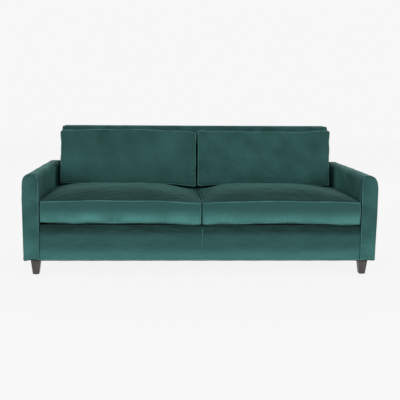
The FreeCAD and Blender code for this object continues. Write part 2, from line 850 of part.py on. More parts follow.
def back_cushion():
    """The left back cushion. It is made lying flat and then stood against the raked inside back."""
    low_welt = back_cushion_rear_crown
    high_welt = low_welt + back_cushion_border
    under = crown(low_welt, -back_cushion_rear_crown, (back_under_reach,) * 3, under_steps)
    bottom_reach = back_cushion_height - 2 * cord_envelope - back_crown_top_reach - back_crown_flat
    reaches = (back_crown_top_reach, back_crown_side_reach, bottom_reach)
    over = crown(high_welt, back_cushion_crown, reaches, crown_steps)
    levels = boxed_levels(under, low_welt, high_welt, over)
    middle = (low_welt + high_welt) / 2
    envelope = (cushion_play, x_in - back_cushion_side_gap, -back_cushion_height, 0)
    ears = (cushion_ear, cushion_ear, 0, cushion_ear)
    welts = ((low_welt, -1), (high_welt, 1))
    pieces = cushion(envelope, levels, back_corner_radius, ears, welts, middle)
    lean = math.degrees(math.atan(back_rake))
    clear = cushion_play * math.sqrt(1 + back_rake ** 2)
    foot = vec(0, back_face_y(back_cushion_foot) - clear, back_cushion_foot)
    for shape in pieces.values():
        shape.rotate(vec(0, 0, 0), vec(1, 0, 0), 90)
        shape.rotate(vec(0, 0, 0), vec(0, 1, 0), 180)
        shape.rotate(vec(0, 0, 0), vec(1, 0, 0), -lean)
        shape.translate(foot)
    return pieces


def build():
    """Every node's name and shape."""
    nodes = {
        "front_rail": cross_rail(y_front_rail),
        "seat_rear_rail": cross_rail(y_seat_rail),
        "rear_rail": cross_rail(back_rear_timber - rail_thickness),
        "end_rails": end_rails(),
        "centre_rail": centre_rail(),
        "corner_blocks": corner_blocks(),
        "frame_screws": frame_screws(),
        "seat_springs": seat_springs(),
        "spring_clips": spring_clips(),
        "seat_pad": seat_pad(),
        "deck_cloth": deck_cloth(),
        "dust_cloth": dust_cloth(),
        "front_border_cover": front_border_cover(),
        "front_border_padding": front_border_padding(),
        "body_piping": body_piping(),
        "arm_bolts": arm_bolts(),
        "back_posts": back_posts(),
        "back_top_rail": back_top_rail(),
        "back_lower_rail": back_lower_rail(),
        "back_webbing": back_webbing(),
        "back_padding": back_padding(),
        "back_cover": back_cover(),
        "outside_back_cover": outside_back_cover(),
        "leg_plates": leg_plates(),
        "leg_bolts": leg_bolts(),
        "leg_glides": leg_glides(),
    }
    for name, (x, y) in zip(("front_left_leg", "front_right_leg", "rear_left_leg", "rear_right_leg"),
                            leg_places()):
        nodes[name] = leg(x, y)
    arm = {"arm_frame": arm_frame(), "arm_boards": arm_boards(), "arm_padding": arm_padding(),
           "arm_cover": arm_cover(), "arm_front_panel": arm_front_panel()}
    for name, shape in arm.items():
        nodes["left_" + name] = shape
        nodes["right_" + name] = mirrored(shape)
    for kind, pieces in (("seat", seat_cushion()), ("back", back_cushion())):
        for name, shape in pieces.items():
            nodes[f"left_{kind}_{name}"] = shape
            nodes[f"right_{kind}_{name}"] = mirrored(shape)
    return nodes


if __name__ == "__main__":
    os.makedirs("parts", exist_ok=True)
    for name, shape in build().items():
        shape.exportStep(f"parts/{name}.step")
    print(len(os.listdir("parts")), "nodes")
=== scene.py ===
# %% [markdown]
# # A velvet sofa with piped cushions
# This file dresses a sofa in Blender. The timber, legs, springs and fasteners already exist as solids,
# so this lesson makes the soft outside: cushions, piping, arms, back, border and cloths. It loads the
# solids first. Everything is in metres, with the floor at zero, the seat facing -Y and +X to the right.

import math

import bpy
import bmesh
import numpy as np
from mathutils import Matrix, Vector
from mathutils.bvhtree import BVHTree


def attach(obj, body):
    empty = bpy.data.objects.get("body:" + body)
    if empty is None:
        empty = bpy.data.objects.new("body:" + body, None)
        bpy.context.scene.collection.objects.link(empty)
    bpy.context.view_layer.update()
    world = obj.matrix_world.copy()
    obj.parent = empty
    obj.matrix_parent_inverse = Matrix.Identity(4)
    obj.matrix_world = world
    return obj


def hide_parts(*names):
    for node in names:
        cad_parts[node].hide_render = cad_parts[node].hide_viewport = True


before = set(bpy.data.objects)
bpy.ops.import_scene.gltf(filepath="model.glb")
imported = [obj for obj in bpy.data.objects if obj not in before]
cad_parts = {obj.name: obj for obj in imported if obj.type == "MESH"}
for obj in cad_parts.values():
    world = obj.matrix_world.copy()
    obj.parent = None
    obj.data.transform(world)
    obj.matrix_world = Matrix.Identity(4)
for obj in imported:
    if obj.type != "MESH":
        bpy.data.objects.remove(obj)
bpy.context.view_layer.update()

# %% [markdown]
# ## Sizes
# A sofa is drawn from a few sizes: how wide, how deep, how high the arms and the seat are. Naming them
# once keeps every later piece in its place. They are the same lengths that the solids have.

# %% Sizes in metres
HALF_WIDTH = 1.030
ARM_WIDTH = 0.092
ARM_TOP = 0.594
INSIDE_ARM = HALF_WIDTH - ARM_WIDTH
BACK_TOP = 0.845
FRONT = -0.442
ARM_FRONT = -0.430
REAR = 0.442
HEM = 0.091
BODY_FOOT = 0.0969
DECK = 0.2953
BACK_AT_DECK = 0.310
BACK_RAKE = 0.060 / (BACK_TOP - DECK)
CORD = 0.0028
CLEAR = 0.0004
PANEL_WALL = 0.0022
SIDES = {"left": -1.0, "right": 1.0}
print(f"seat between the arms: {2 * INSIDE_ARM:.3f} m")

# %% [markdown]
# ## Camera
# The picture was taken from a little left of the middle, at about a person's chest height, with a long
# lens. Three angles turn the camera: yaw about the vertical, pitch down, and a trace of roll. The view
# direction and the picture's right and up directions are worked out from them, and together they are
# the camera's matrix. A small shift moves the frame without tilting the view.

# %% Camera
YAW, PITCH, ROLL = (math.radians(a) for a in (-2.893, 6.076, 0.639))
FOCAL_PIXELS, PICTURE = 699.0, 400.0
OPTICAL_CENTRE = (195.2, 170.6)
CAMERA_PLACE = (-0.2441, -4.4249, 1.0466)
level_right = Vector((math.cos(YAW), math.sin(YAW), 0))
level_ahead = Vector((-math.sin(YAW), math.cos(YAW), 0))
ahead = level_ahead * math.cos(PITCH) - Vector((0, 0, 1)) * math.sin(PITCH)
above = level_ahead * math.sin(PITCH) + Vector((0, 0, 1)) * math.cos(PITCH)
right = level_right * math.cos(ROLL) + above * math.sin(ROLL)
up = above * math.cos(ROLL) - level_right * math.sin(ROLL)
camera_data = bpy.data.cameras.new("photo_camera")
camera_data.lens = camera_data.sensor_width * FOCAL_PIXELS / PICTURE
camera_data.shift_x = (PICTURE / 2 - OPTICAL_CENTRE[0]) / PICTURE
camera_data.shift_y = (OPTICAL_CENTRE[1] - PICTURE / 2) / PICTURE
camera = bpy.data.objects.new("photo_camera", camera_data)
bpy.context.collection.objects.link(camera)
camera.matrix_world = Matrix((
    (right.x, up.x, -ahead.x, CAMERA_PLACE[0]),
    (right.y, up.y, -ahead.y, CAMERA_PLACE[1]),
    (right.z, up.z, -ahead.z, CAMERA_PLACE[2]),
    (0, 0, 0, 1),
))
bpy.context.scene.camera = camera
print(f"lens {camera_data.lens:.1f} mm")

# %% [markdown]
# ## Surfaces from grids
# Every new piece here is a surface worked out on a grid. A grid of points needs faces between its rows
# and columns, and `grid_faces` numbers them for a whole grid at once. `make_mesh` puts points and
# faces in a mesh, merges points that lie on each other, such as those at a pole, and turns the faces
# outwards.

# %% Grid helpers
def grid_faces(rows, columns, wrap_rows=False, wrap_columns=False):
    """Corner numbers of the faces of a grid: each face joins (i, j), (i, j+1), (i+1, j+1), (i+1, j),
    and a wrapped direction joins its last line to its first."""
    i = np.arange(rows if wrap_rows else rows - 1)[:, None]
    j = np.arange(columns if wrap_columns else columns - 1)[None, :]
    next_i, next_j = (i + 1) % rows, (j + 1) % columns
    corners = (i * columns + j, i * columns + next_j, next_i * columns + next_j, next_i * columns + j)
    return np.stack(np.broadcast_arrays(*corners), -1).reshape(-1, 4)


def make_mesh(name, points, faces, merge=2e-5):
    """A mesh of points and four-cornered faces. Doubles are merged and normals point outwards."""
    mesh = bpy.data.meshes.new(name)
    mesh.from_pydata(points.reshape(-1, 3).tolist(), [], faces.tolist())
    shape = bmesh.new()
    shape.from_mesh(mesh)
    bmesh.ops.remove_doubles(shape, verts=shape.verts, dist=merge)
    bmesh.ops.dissolve_degenerate(shape, dist=merge / 2, edges=shape.edges)
    bmesh.ops.recalc_face_normals(shape, faces=shape.faces)
    shape.to_mesh(mesh)
    shape.free()
    mesh.shade_smooth()
    return mesh


print("grid of 3 by 3 points:", len(grid_faces(3, 3)), "faces")

# %% [markdown]
# A mesh shows in the scene through an object. Numpy reads and writes all of a mesh's points in one call,
# which is much faster than a loop over them. `paint` keeps a number at each point of a mesh, as a
# material can read such a layer by its name.

# %% Mesh data helpers
def make_object(name, mesh, material):
    """An object at the origin that shows a mesh in one material."""
    piece = bpy.data.objects.new(name, mesh)
    bpy.context.collection.objects.link(piece)
    mesh.materials.clear()
    mesh.materials.append(material)
    return piece


def read_vectors(items, key):
    """One vector of every item as an (n, 3) array."""
    flat = np.empty(len(items) * 3, np.float32)
    items.foreach_get(key, flat)
    return flat.reshape(-1, 3).astype(float)


def points_of(mesh):
    return read_vectors(mesh.vertices, "co")


def normals_of(mesh):
    return read_vectors(mesh.vertex_normals, "vector")


def move_points(mesh, points):
    """Give the mesh's points new places."""
    mesh.vertices.foreach_set("co", points.astype(np.float32).ravel())
    mesh.update()


def paint(mesh, name, values):
    """Keep one number for each point, which a material can read by its name."""
    layer = mesh.attributes.get(name) or mesh.attributes.new(name, "FLOAT", "POINT")
    layer.data.foreach_set("value", np.clip(values, 0, 1).astype(np.float32))


print("mesh helpers ready, layers hold one number for each point")

# %% [markdown]
# ## Finishes
# A finish is a tree of nodes that works out the colour and roughness of every point, so it needs no
# picture. The trees repeat a few steps, and each step gets a short helper. The first ones add a node with
# its settings, start a material and lay a noise pattern on the object's own coordinates.

# %% Node and noise helpers
def add_node(tree, kind, **settings):
    """A node with its settings; a key that starts with in_ sets the input of that name or number."""
    node = tree.nodes.new(kind)
    for key, value in settings.items():
        if key.startswith("in_"):
            name = key[3:].replace("_", " ")
            node.inputs[int(name) if name.isdigit() else name].default_value = value
        else:
            setattr(node, key, value)
    return node


def new_material(name):
    """An empty node material with its shader and its tree."""
    material = bpy.data.materials.new(name)
    material.use_nodes = True
    tree = material.node_tree
    return material, tree, tree.nodes["Principled BSDF"]


def noise(tree, place, scale, detail=2.0, stretch=(1, 1, 1), roughness=0.5):
    """A noise pattern on object coordinates, stretched along the axes."""
    mapping = add_node(tree, "ShaderNodeMapping")
    mapping.inputs["Scale"].default_value = stretch
    tree.links.new(place, mapping.inputs["Vector"])
    pattern = add_node(tree, "ShaderNodeTexNoise", in_Scale=scale, in_Detail=detail,
                       in_Roughness=roughness)
    tree.links.new(mapping.outputs["Vector"], pattern.inputs["Vector"])
    return pattern.outputs["Fac"]


print("node helpers ready for", bpy.app.version_string)

# %% [markdown]
# The others work on values: a change of range, a sum or another operation on two values, and a mix of
# two colours.

# %% Value helpers
def remap(tree, value, low, high, to_low, to_high):
    """Spread a value from one range to another, held at the ends."""
    node = add_node(tree, "ShaderNodeMapRange", in_1=low, in_2=high, in_3=to_low, in_4=to_high)
    tree.links.new(value, node.inputs[0])
    return node.outputs["Result"]


def combine(tree, operation, first, second):
    """Join two values, or a value and a number, by an operation."""
    node = add_node(tree, "ShaderNodeMath", operation=operation)
    for socket, value in zip(node.inputs, (first, second)):
        if isinstance(value, (int, float)):
            socket.default_value = value
        else:
            tree.links.new(value, socket)
    return node.outputs[0]


def mix_colour(tree, amount, first, second):
    """A colour between two colours."""
    node = add_node(tree, "ShaderNodeMix", data_type="RGBA")
    tree.links.new(amount, node.inputs[0])
    for socket, value in ((node.inputs[6], first), (node.inputs[7], second)):
        if isinstance(value, tuple):
            socket.default_value = value
        else:
            tree.links.new(value, socket)
    return node.outputs[2]


print("value helpers:", ", ".join(f.__name__ for f in (remap, combine, mix_colour)))

# %% [markdown]
# Velvet is a dense pile of short fibres. It looks dark where the fibres point at the viewer and pale
# where they lean over, so its colour changes with how it was last stroked. The base colour here mixes a
# deep and a pale green by three patterns: wide soft patches, long faint strokes, and a value that each
# piece paints at its points. That value holds where the pile leans, and also painted light and shade:
# paler where a part faces the pale floor, a painted light, and darker under the seat cushions and on the
# arms' inner sides, a painted shade. Sheen adds the soft glow at the edges. A very fine bump stands for
# the pile. The seat cushions, which are pulled tight, get a calmer mix. The piping gets paler greens than
# the cover, a painted sheen on its round cords.

# %% Velvet
DEEP_GREEN = (0.0115, 0.039, 0.034, 1)
BRUSHED_AND_LIT_GREEN = (0.090, 0.288, 0.268, 1)
# painted sheen: the cords get paler greens than the cover they are cut from
PIPING_GREENS_PAINTED_SHEEN = (0.042, 0.140, 0.126, 1), (0.13, 0.33, 0.31, 1)


def make_velvet(name, deep, brushed_and_lit, patches=1.0, strokes=1.0):
    """Velvet: the painted lean of the pile and painted light, wide patches and fine strokes choose between
    the two greens.
    """
    material, tree, shader = new_material(name)
    place = add_node(tree, "ShaderNodeTexCoord").outputs["Object"]
    # the painted value: the lean of the pile together with painted light and shade
    nap_and_painted_light = add_node(tree, "ShaderNodeAttribute", attribute_name="nap_and_painted_light").outputs["Fac"]
    patch, streak = 0.030 * patches, 0.014 * strokes
    wide = remap(tree, noise(tree, place, 3.1, 2.0, (1, 1, 1.5)), 0.3, 0.7, -patch, patch)
    stroke = remap(tree, noise(tree, place, 9.0, 3.0, (0.55, 1.0, 3.2), 0.6), 0.35, 0.65, -streak, streak)
    pile = noise(tree, place, 420.0, 2.0)
    amount = combine(tree, "ADD", combine(tree, "ADD", nap_and_painted_light, wide), stroke)
    amount = combine(tree, "ADD", amount, remap(tree, pile, 0.3, 0.7, -0.02, 0.02))
    tree.links.new(mix_colour(tree, amount, deep, brushed_and_lit), shader.inputs["Base Color"])
    tree.links.new(remap(tree, stroke, -0.03, 0.03, 0.82, 0.72), shader.inputs["Roughness"])
    shader.inputs["Specular IOR Level"].default_value = 0.12
    shader.inputs["Sheen Weight"].default_value = 0.32
    shader.inputs["Sheen Roughness"].default_value = 0.42
    shader.inputs["Sheen Tint"].default_value = (0.22, 0.52, 0.47, 1)
    bump = add_node(tree, "ShaderNodeBump", in_Strength=0.35, in_Distance=0.0006)
    tree.links.new(pile, bump.inputs["Height"])
    tree.links.new(bump.outputs["Normal"], shader.inputs["Normal"])
    return material


velvet = make_velvet("velvet", DEEP_GREEN, BRUSHED_AND_LIT_GREEN)
velvet_calm = make_velvet("velvet_calm", DEEP_GREEN, BRUSHED_AND_LIT_GREEN, 0.4, 0.5)
velvet_piping = make_velvet("velvet_piping", *PIPING_GREENS_PAINTED_SHEEN, 0.5, 0.5)
print("made", velvet.name, velvet_calm.name, "and", velvet_piping.name)

# %% [markdown]
# The other finishes need three kinds of pattern. A woven cloth shows two crossing waves of threads.
# Felt, board and metal show specks or clouds. Wood shows a grain, which is a noise pattern stretched
# along the timber.

# %% Cloth, speckles and wood
def make_weave(name, dark, light, threads, roughness=0.9):
    """Plain cloth: two crossing waves of threads, blurred by a little noise."""
    material, tree, shader = new_material(name)
    place = add_node(tree, "ShaderNodeTexCoord").outputs["Object"]
    amount = None
    for direction in ("X", "Y"):
        wave = add_node(tree, "ShaderNodeTexWave", bands_direction=direction, in_Scale=threads,
                        in_Distortion=0.6, in_Detail=1.0)
        tree.links.new(place, wave.inputs["Vector"])
        half = combine(tree, "MULTIPLY", wave.outputs["Fac"], 0.4)
        amount = half if amount is None else combine(tree, "ADD", amount, half)
    amount = combine(tree, "ADD", amount, remap(tree, noise(tree, place, 40.0), 0.3, 0.7, 0.0, 0.2))
    tree.links.new(mix_colour(tree, amount, dark, light), shader.inputs["Base Color"])
    shader.inputs["Roughness"].default_value = roughness
    shader.inputs["Specular IOR Level"].default_value = 0.15
    return material


def make_speckled(name, dark, light, scale, roughness, metallic=0.0):
    """A hard surface with specks or clouds of a lighter tone and a slightly uneven sheen."""
    material, tree, shader = new_material(name)
    place = add_node(tree, "ShaderNodeTexCoord").outputs["Object"]
    specks = noise(tree, place, scale, 3.0)
    tree.links.new(mix_colour(tree, specks, dark, light), shader.inputs["Base Color"])
    uneven = remap(tree, noise(tree, place, scale * 0.3), 0.3, 0.7, roughness - 0.05, roughness + 0.05)
    tree.links.new(uneven, shader.inputs["Roughness"])
    shader.inputs["Metallic"].default_value = metallic
    return material


def make_wood(name, dark, light, along, roughness):
    """Wood: bands of grain, stretched along one axis and bent a little, with fine pores."""
    material, tree, shader = new_material(name)
    place = add_node(tree, "ShaderNodeTexCoord").outputs["Object"]
    stretch = (0.06, 1, 1) if along == "X" else (1, 1, 0.06)
    bands = noise(tree, place, 55.0, 3.0, stretch, 0.6)
    pores = noise(tree, place, 420.0, 2.0, stretch)
    grain = remap(tree, bands, 0.3, 0.7, 0.0, 0.8)
    amount = combine(tree, "ADD", grain, remap(tree, pores, 0.35, 0.65, 0, 0.2))
    tree.links.new(mix_colour(tree, amount, dark, light), shader.inputs["Base Color"])
    shader.inputs["Roughness"].default_value = roughness
    shader.inputs["Specular IOR Level"].default_value = 0.3
    return material


deck_fabric = make_weave("deck_fabric_finish", (0.030, 0.040, 0.040, 1), (0.085, 0.104, 0.102, 1), 420)
dust_fabric = make_weave("dust_fabric_finish", (0.012, 0.012, 0.012, 1), (0.030, 0.030, 0.031, 1), 300)
felt = make_speckled("felt_finish", (0.20, 0.20, 0.19, 1), (0.40, 0.39, 0.37, 1), 500, 0.95)
zip_tape = make_weave("zip_tape_finish", (0.012, 0.040, 0.036, 1), (0.022, 0.066, 0.060, 1), 700)
zip_metal = make_speckled("zip_metal_finish", (0.075, 0.072, 0.068, 1), (0.15, 0.145, 0.135, 1),
                          200, 0.34, 1.0)
print("made", ", ".join(m.name for m in (deck_fabric, dust_fabric, felt, zip_tape, zip_metal)))

# %% [markdown]
# ## Outlines and cords
# A sewn cushion starts as a flat outline with rounded corners. `rounded_path` walks along such an
# outline in even steps: it puts an arc in each corner, measures the whole line and divides its length.

# %% Outlines
def rounded_path(corners, radii, closed=True, step=0.004):
    """Points at even steps along straight runs joined by round corners. A corner's arc starts and ends
    where the radius over the tangent of half the corner's angle says."""
    corners = np.asarray(corners, float)
    count = len(corners)
    pieces = []
    for i in range(count):
        radius = radii[i]
        if radius <= 0 or (not closed and i in (0, count - 1)):
            pieces.append(corners[i][None])
            continue
        before = corners[i - 1] - corners[i]
        after = corners[(i + 1) % count] - corners[i]
        before /= np.linalg.norm(before)
        after /= np.linalg.norm(after)
        half = math.acos(np.clip(before @ after, -1, 1)) / 2
        bisector = before + after
        bisector /= np.linalg.norm(bisector)
        centre = corners[i] + bisector * radius / math.sin(half)
        turn = np.linspace(-(math.pi / 2 - half), math.pi / 2 - half, 17)[:, None]
        side = before - (before @ bisector) * bisector
        side /= np.linalg.norm(side)
        arc = centre - radius * (np.cos(turn) * bisector + np.sin(turn) * side)
        first_gap, last_gap = (np.linalg.norm(arc[k] - corners[i - 1]) for k in (0, -1))
        pieces.append(arc[::-1] if first_gap > last_gap else arc)
    line = np.concatenate(pieces)
    if closed:
        line = np.concatenate([line, line[:1]])
    length = np.concatenate([[0], np.cumsum(np.linalg.norm(np.diff(line, axis=0), axis=1))])
    steps = max(int(round(length[-1] / step)), 8)
    where = np.linspace(0, length[-1], steps + 1)[: steps if closed else steps + 1]
    return np.stack([np.interp(where, length, line[:, k]) for k in range(line.shape[1])], -1)


print("outline test:", len(rounded_path([(0, 0), (1, 0), (1, 1), (0, 1)], [0.1] * 4)), "points")

# %% [markdown]
# Piping is a cord in a strip of velvet, sewn in the seam. It could be a curve with a bevel. Here it's a
# grid of rings round the seam's line, as every other piece is a grid too and can be painted and joined.

# %% Cords
def sweep(name, path, radius, material, closed=False, sides=12, up=(0, 0, 1)):
    """A round cord: at each point of the path a circle stands square to the path. Its first direction is
    the up vector less its part along the path. Open ends close in a half ball."""
    ahead_of = np.roll(path, -1, 0) - np.roll(path, 1, 0)
    if not closed:
        ahead_of[0], ahead_of[-1] = path[1] - path[0], path[-1] - path[-2]
    tangent = ahead_of / np.linalg.norm(ahead_of, axis=1, keepdims=True)
    first = np.asarray(up, float) - (tangent @ np.asarray(up, float))[:, None] * tangent
    first /= np.linalg.norm(first, axis=1, keepdims=True)
    second = np.cross(tangent, first)
    centre, size = path, np.full(len(path), radius)
    if not closed:
        cap = np.linspace(0, math.pi / 2, 5)[1:]
        size = np.concatenate([radius * np.cos(cap)[::-1], size, radius * np.cos(cap)])
        reach = radius * np.sin(cap)[:, None]
        centre = np.concatenate([path[:1] - (reach * tangent[0])[::-1], path,
                                 path[-1:] + reach * tangent[-1]])
        first = np.concatenate([np.repeat(first[:1], 4, 0), first, np.repeat(first[-1:], 4, 0)])
        second = np.concatenate([np.repeat(second[:1], 4, 0), second, np.repeat(second[-1:], 4, 0)])
    turn = np.linspace(0, 2 * math.pi, sides, endpoint=False)
    ring = (np.cos(turn)[None, :, None] * first[:, None] + np.sin(turn)[None, :, None] * second[:, None])
    points = centre[:, None] + size[:, None, None] * ring
    mesh = make_mesh(name, points, grid_faces(len(centre), sides, closed, True), 1e-6)
    return make_object(name, mesh, material)


print(f"the main piping is {2000 * CORD:.1f} mm thick")

# %% [markdown]
# Foam and cloth are never quite even. `waves` adds a soft unevenness without a visible repeat, and gives
# the same result on each run because its chance numbers start from a seed. `ease` blends one shape
# into another without an edge.

# %% Softness helpers
def waves(points, seed, count, shortest, longest):
    """Soft unevenness: the mean of many sine waves with chance directions and lengths."""
    chance = np.random.RandomState(seed)
    heading = chance.normal(size=(count, 3))
    heading /= np.linalg.norm(heading, axis=1, keepdims=True)
    number = 2 * math.pi / np.exp(chance.uniform(math.log(shortest), math.log(longest), count))
    phase = chance.uniform(0, 2 * math.pi, count)
    total = np.zeros(len(points))
    for k in range(count):
        total += np.sin(points @ (heading[k] * number[k]) + phase[k])
    return total / math.sqrt(count / 2)


def ease(value, low, high):
    """0 below low, 1 above high, and a smooth S between them."""
    t = np.clip((value - low) / (high - low), 0, 1)
    return t * t * (3 - 2 * t)


print("halfway through ease:", float(ease(0.5, 0.0, 1.0)))

# %% [markdown]
# ## Cushion shapes
# A boxed cushion has two faces and a border strip, sewn together along two welts. Its outline is a
# rounded rectangle. Each face rises from its welt as a crown, because the filling pushes it out in the
# middle and the seam holds it at the edge. A quarter ellipse gives that rise. The cord stands off the
# cloth by a little, so the cloth's outline is inset by the stand and the cord's radius.

# %% Cushion outlines
CORD_STAND = 0.00286
CORD_RISE = 0.00119
WELT_OUT = 0.0018
CORD_SEAT = 0.4 * CORD
FABRIC_INSET = CORD_STAND + CORD


def quarter(t):
    """Height of a quarter ellipse at a share t of its reach: the root of 1 - (1 - t) squared."""
    t = np.clip(t, 0, 1)
    return np.sqrt(np.maximum(1 - (1 - t) ** 2, 0)) ** 1.25


def outward_of(outline):
    """Unit vectors that point out of a closed outline drawn the left-hand way round."""
    ahead_of = np.roll(outline, -1, 0) - np.roll(outline, 1, 0)
    outward = np.stack([ahead_of[:, 1], -ahead_of[:, 0]], -1)
    return outward / np.linalg.norm(outward, axis=1, keepdims=True)


print(f"cloth lies {1000 * FABRIC_INSET:.2f} mm inside the cushion's outline")

# %% [markdown]
# The whole skin is one grid: rows run from the middle of the underside, over the border, to the middle
# of the face, and columns run round the outline. Between the corners the sides pull in a little, as the
# seams do when the filling draws the cloth tight.

# %% Cushion grid
class Cushion:
    """A cushion lying flat: a across, b from its front or foot to its rear or top, c through it."""

    def __init__(self, half_a, half_b, corner, low, high, under, over, pull):
        self.half_a, self.half_b, self.corner, self.pull = half_a, half_b, corner, pull
        self.low, self.high, self.under, self.over = low, high, under, over
        box = [(-half_a, -half_b), (half_a, -half_b), (half_a, half_b), (-half_a, half_b)]
        self.outline = rounded_path(box, [corner] * 4, step=0.006)

    def drawn_in(self, a, b):
        """Sides pull in by a parabola: most in their middle and nothing at the corners."""
        in_a = self.pull * (1 - np.clip(b / self.half_b, -1, 1) ** 2)
        in_b = self.pull * (1 - np.clip(a / self.half_a, -1, 1) ** 2)
        return a * (1 - in_a / self.half_a), b * (1 - in_b / self.half_b)

    def inset(self, a, b):
        """How far inside the rounded rectangle a point lies."""
        qa, qb = np.abs(a) - (self.half_a - self.corner), np.abs(b) - (self.half_b - self.corner)
        outside = np.hypot(np.maximum(qa, 0), np.maximum(qb, 0))
        return self.corner - outside - np.minimum(np.maximum(qa, qb), 0)

    def welt(self, height, out):
        """The line of a seam round the cushion at a height, moved out."""
        outward = outward_of(self.outline)
        a, b = self.drawn_in(*self.outline.T)
        return np.stack([a + out * outward[:, 0], b + out * outward[:, 1], np.full(len(a), height)], -1)

    def skin(self, name, bulge, rows=44):
        """The whole skin as one closed grid."""
        a0, b0 = self.outline.T
        spine_reach = max(self.half_a - self.half_b, 0)
        spine = np.clip(a0, -spine_reach, spine_reach)
        inward = np.linspace(0, 1, rows)[:, None] ** 1.2
        a_face = a0 + (spine - a0) * inward
        b_face = b0 * (1 - inward)
        top = self.high + self.over(a_face, b_face) * ease(inward, -0.01, 0.05)
        bottom = self.low - self.under(a_face, b_face) * ease(inward, -0.01, 0.05)
        share = np.linspace(0, 1, 19)[1:-1, None]
        out = bulge * np.sin(math.pi * share)
        outward = outward_of(self.outline)
        a = np.concatenate([a_face[::-1], a0 + out * outward[:, 0], a_face])
        b = np.concatenate([b_face[::-1], b0 + out * outward[:, 1], b_face])
        c = np.concatenate([bottom[::-1], self.low + (self.high - self.low) * share + 0 * a0, top])
        a, b = self.drawn_in(a, b)
        points = np.stack([a, b, c], -1)
        return make_mesh(name, points, grid_faces(len(points), len(a0), False, True))


print("a cushion's skin has", 2 * 44 + 17, "rows")

# %% [markdown]
# ## Filling a cushion
# The skin is filled by a cloth simulation. The mesh is first remade of even small squares. Points near
# the seams are pinned, because the thread and cord hold them. Pressure then swells the cloth between
# the seams for twenty frames, and no point may move further than a cap. One subdivision smooths the
# result. One seat cushion and one back cushion are filled, and each is turned over for the other side.

# %% Working copies
def applied(piece):
    """The piece's mesh with its modifiers worked in."""
    bpy.context.view_layer.update()
    ready = piece.evaluated_get(bpy.context.evaluated_depsgraph_get())
    return bpy.data.meshes.new_from_object(ready)


def turned_over(mesh):
    """A mirror copy in a, with its faces turned outwards again."""
    copy = mesh.copy()
    move_points(copy, points_of(copy) * (-1, 1, 1))
    copy.flip_normals()
    return copy


print("filling by simulation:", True)

# %% [markdown]
# The worker object below is the cushion's skin while it is filled. It goes when the filling is done, and
# only the filled mesh stays. The cap keeps the simulation's result close to the shape of the solids.

# %% Filling
FRAMES = 20


def fill_with_cloth(mesh, shape, voxel, cap, pressure=4.0):
    """Swell a cushion's skin between its pinned seams and keep the change within the cap."""
    worker = bpy.data.objects.new("filling", mesh)
    bpy.context.collection.objects.link(worker)
    remesh = worker.modifiers.new("even", "REMESH")
    remesh.mode, remesh.voxel_size = "VOXEL", voxel
    worker.data = applied(worker)
    worker.modifiers.clear()
    start = points_of(worker.data)
    a, b, c = start.T
    inset = shape.inset(a, b)
    near = np.minimum(np.hypot(inset, c - shape.low), np.hypot(inset, c - shape.high))
    hold = np.round(1 - ease(near, voxel, voxel * 3), 1)
    pins = worker.vertex_groups.new(name="pins")
    for level in np.unique(hold)[1:]:
        pins.add(np.nonzero(hold == level)[0].tolist(), float(level), "REPLACE")
    cloth = worker.modifiers.new("cloth", "CLOTH")
    setting = cloth.settings
    setting.quality, setting.mass = 5, 0.3
    setting.tension_stiffness, setting.compression_stiffness = 12, 12
    setting.shear_stiffness, setting.bending_stiffness = 4, 0.5
    setting.use_pressure, setting.uniform_pressure_force = True, pressure
    setting.effector_weights.gravity = 0
    setting.vertex_group_mass = "pins"
    cloth.point_cache.frame_start, cloth.point_cache.frame_end = 1, FRAMES
    for number in range(1, FRAMES + 1):
        bpy.context.scene.frame_set(number)
    move = points_of(applied(worker)) - start
    worker.modifiers.clear()
    bpy.context.scene.frame_set(1)
    length = np.linalg.norm(move, axis=1, keepdims=True)
    move *= np.minimum(1, cap / np.maximum(length, 1e-9)) * (1 - hold[:, None])
    move_points(worker.data, start + move)
    smooth = worker.modifiers.new("smooth", "SUBSURF")
    smooth.levels = smooth.render_levels = 1
    filled = applied(worker)
    bpy.data.objects.remove(worker)
    filled.shade_smooth()
    print(f"filled {len(filled.vertices)} points, moved up to {1000 * length.max():.0f} mm")
    return filled


print("frames of each filling:", FRAMES)

# %% [markdown]
# Creases go in after the filling, each a groove with raised sides along a short line. The piping has to
# sit in the seam of the finished skin, so its line is laid on the skin point by point. A tree of the
# skin's faces finds the nearest place quickly.

# %% Creases and seated cords
def crease(points, normals, lines):
    """Grooves along short lines. Across a line the depth is (1 - r squared) times exp(-r squared), r in
    widths, so each groove has raised sides; along it the depth fades to nothing at the far end."""
    moved = points.copy()
    for start, end, depth, width in lines:
        start, end = np.array(start, float), np.array(end, float)
        run = end - start
        share = np.clip((points - start) @ run / (run @ run), 0, 1)
        gap = np.linalg.norm(points - start - share[:, None] * run, axis=1) / width
        fall = (1 - gap ** 2) * np.exp(-gap ** 2) * (1 - share ** 2)
        moved -= (depth * fall)[:, None] * normals
    return moved


def skin_tree(mesh):
    """A tree of a mesh's faces that finds nearest points and meets rays."""
    return BVHTree.FromPolygons([v.co for v in mesh.vertices], [tuple(p.vertices) for p in mesh.polygons])


def laid_on(line, skin, stand, closed=True):
    """The line moved on to a skin, so that a cord along it is seated in the seam without gaps. Every point
    goes to the nearest point of the skin and a little out, and the moves are evened along the line."""
    tree = skin_tree(skin)
    found = [tree.find_nearest(Vector(p)) for p in line]
    moves = np.array([place + stand * normal for place, normal, _, _ in found]) - line
    reach = 4
    padded = np.pad(moves, ((reach, reach), (0, 0)), mode="wrap" if closed else "edge")
    return line + np.mean([padded[k:k + len(line)] for k in range(2 * reach + 1)], 0)


test = crease(np.zeros((1, 3)), np.array([[0, 0, 1.0]]), [((0, 0, 0), (1, 0, 0), 0.002, 0.01)])
print(f"crease test: {1000 * test[0, 2]:.1f} mm at its start")
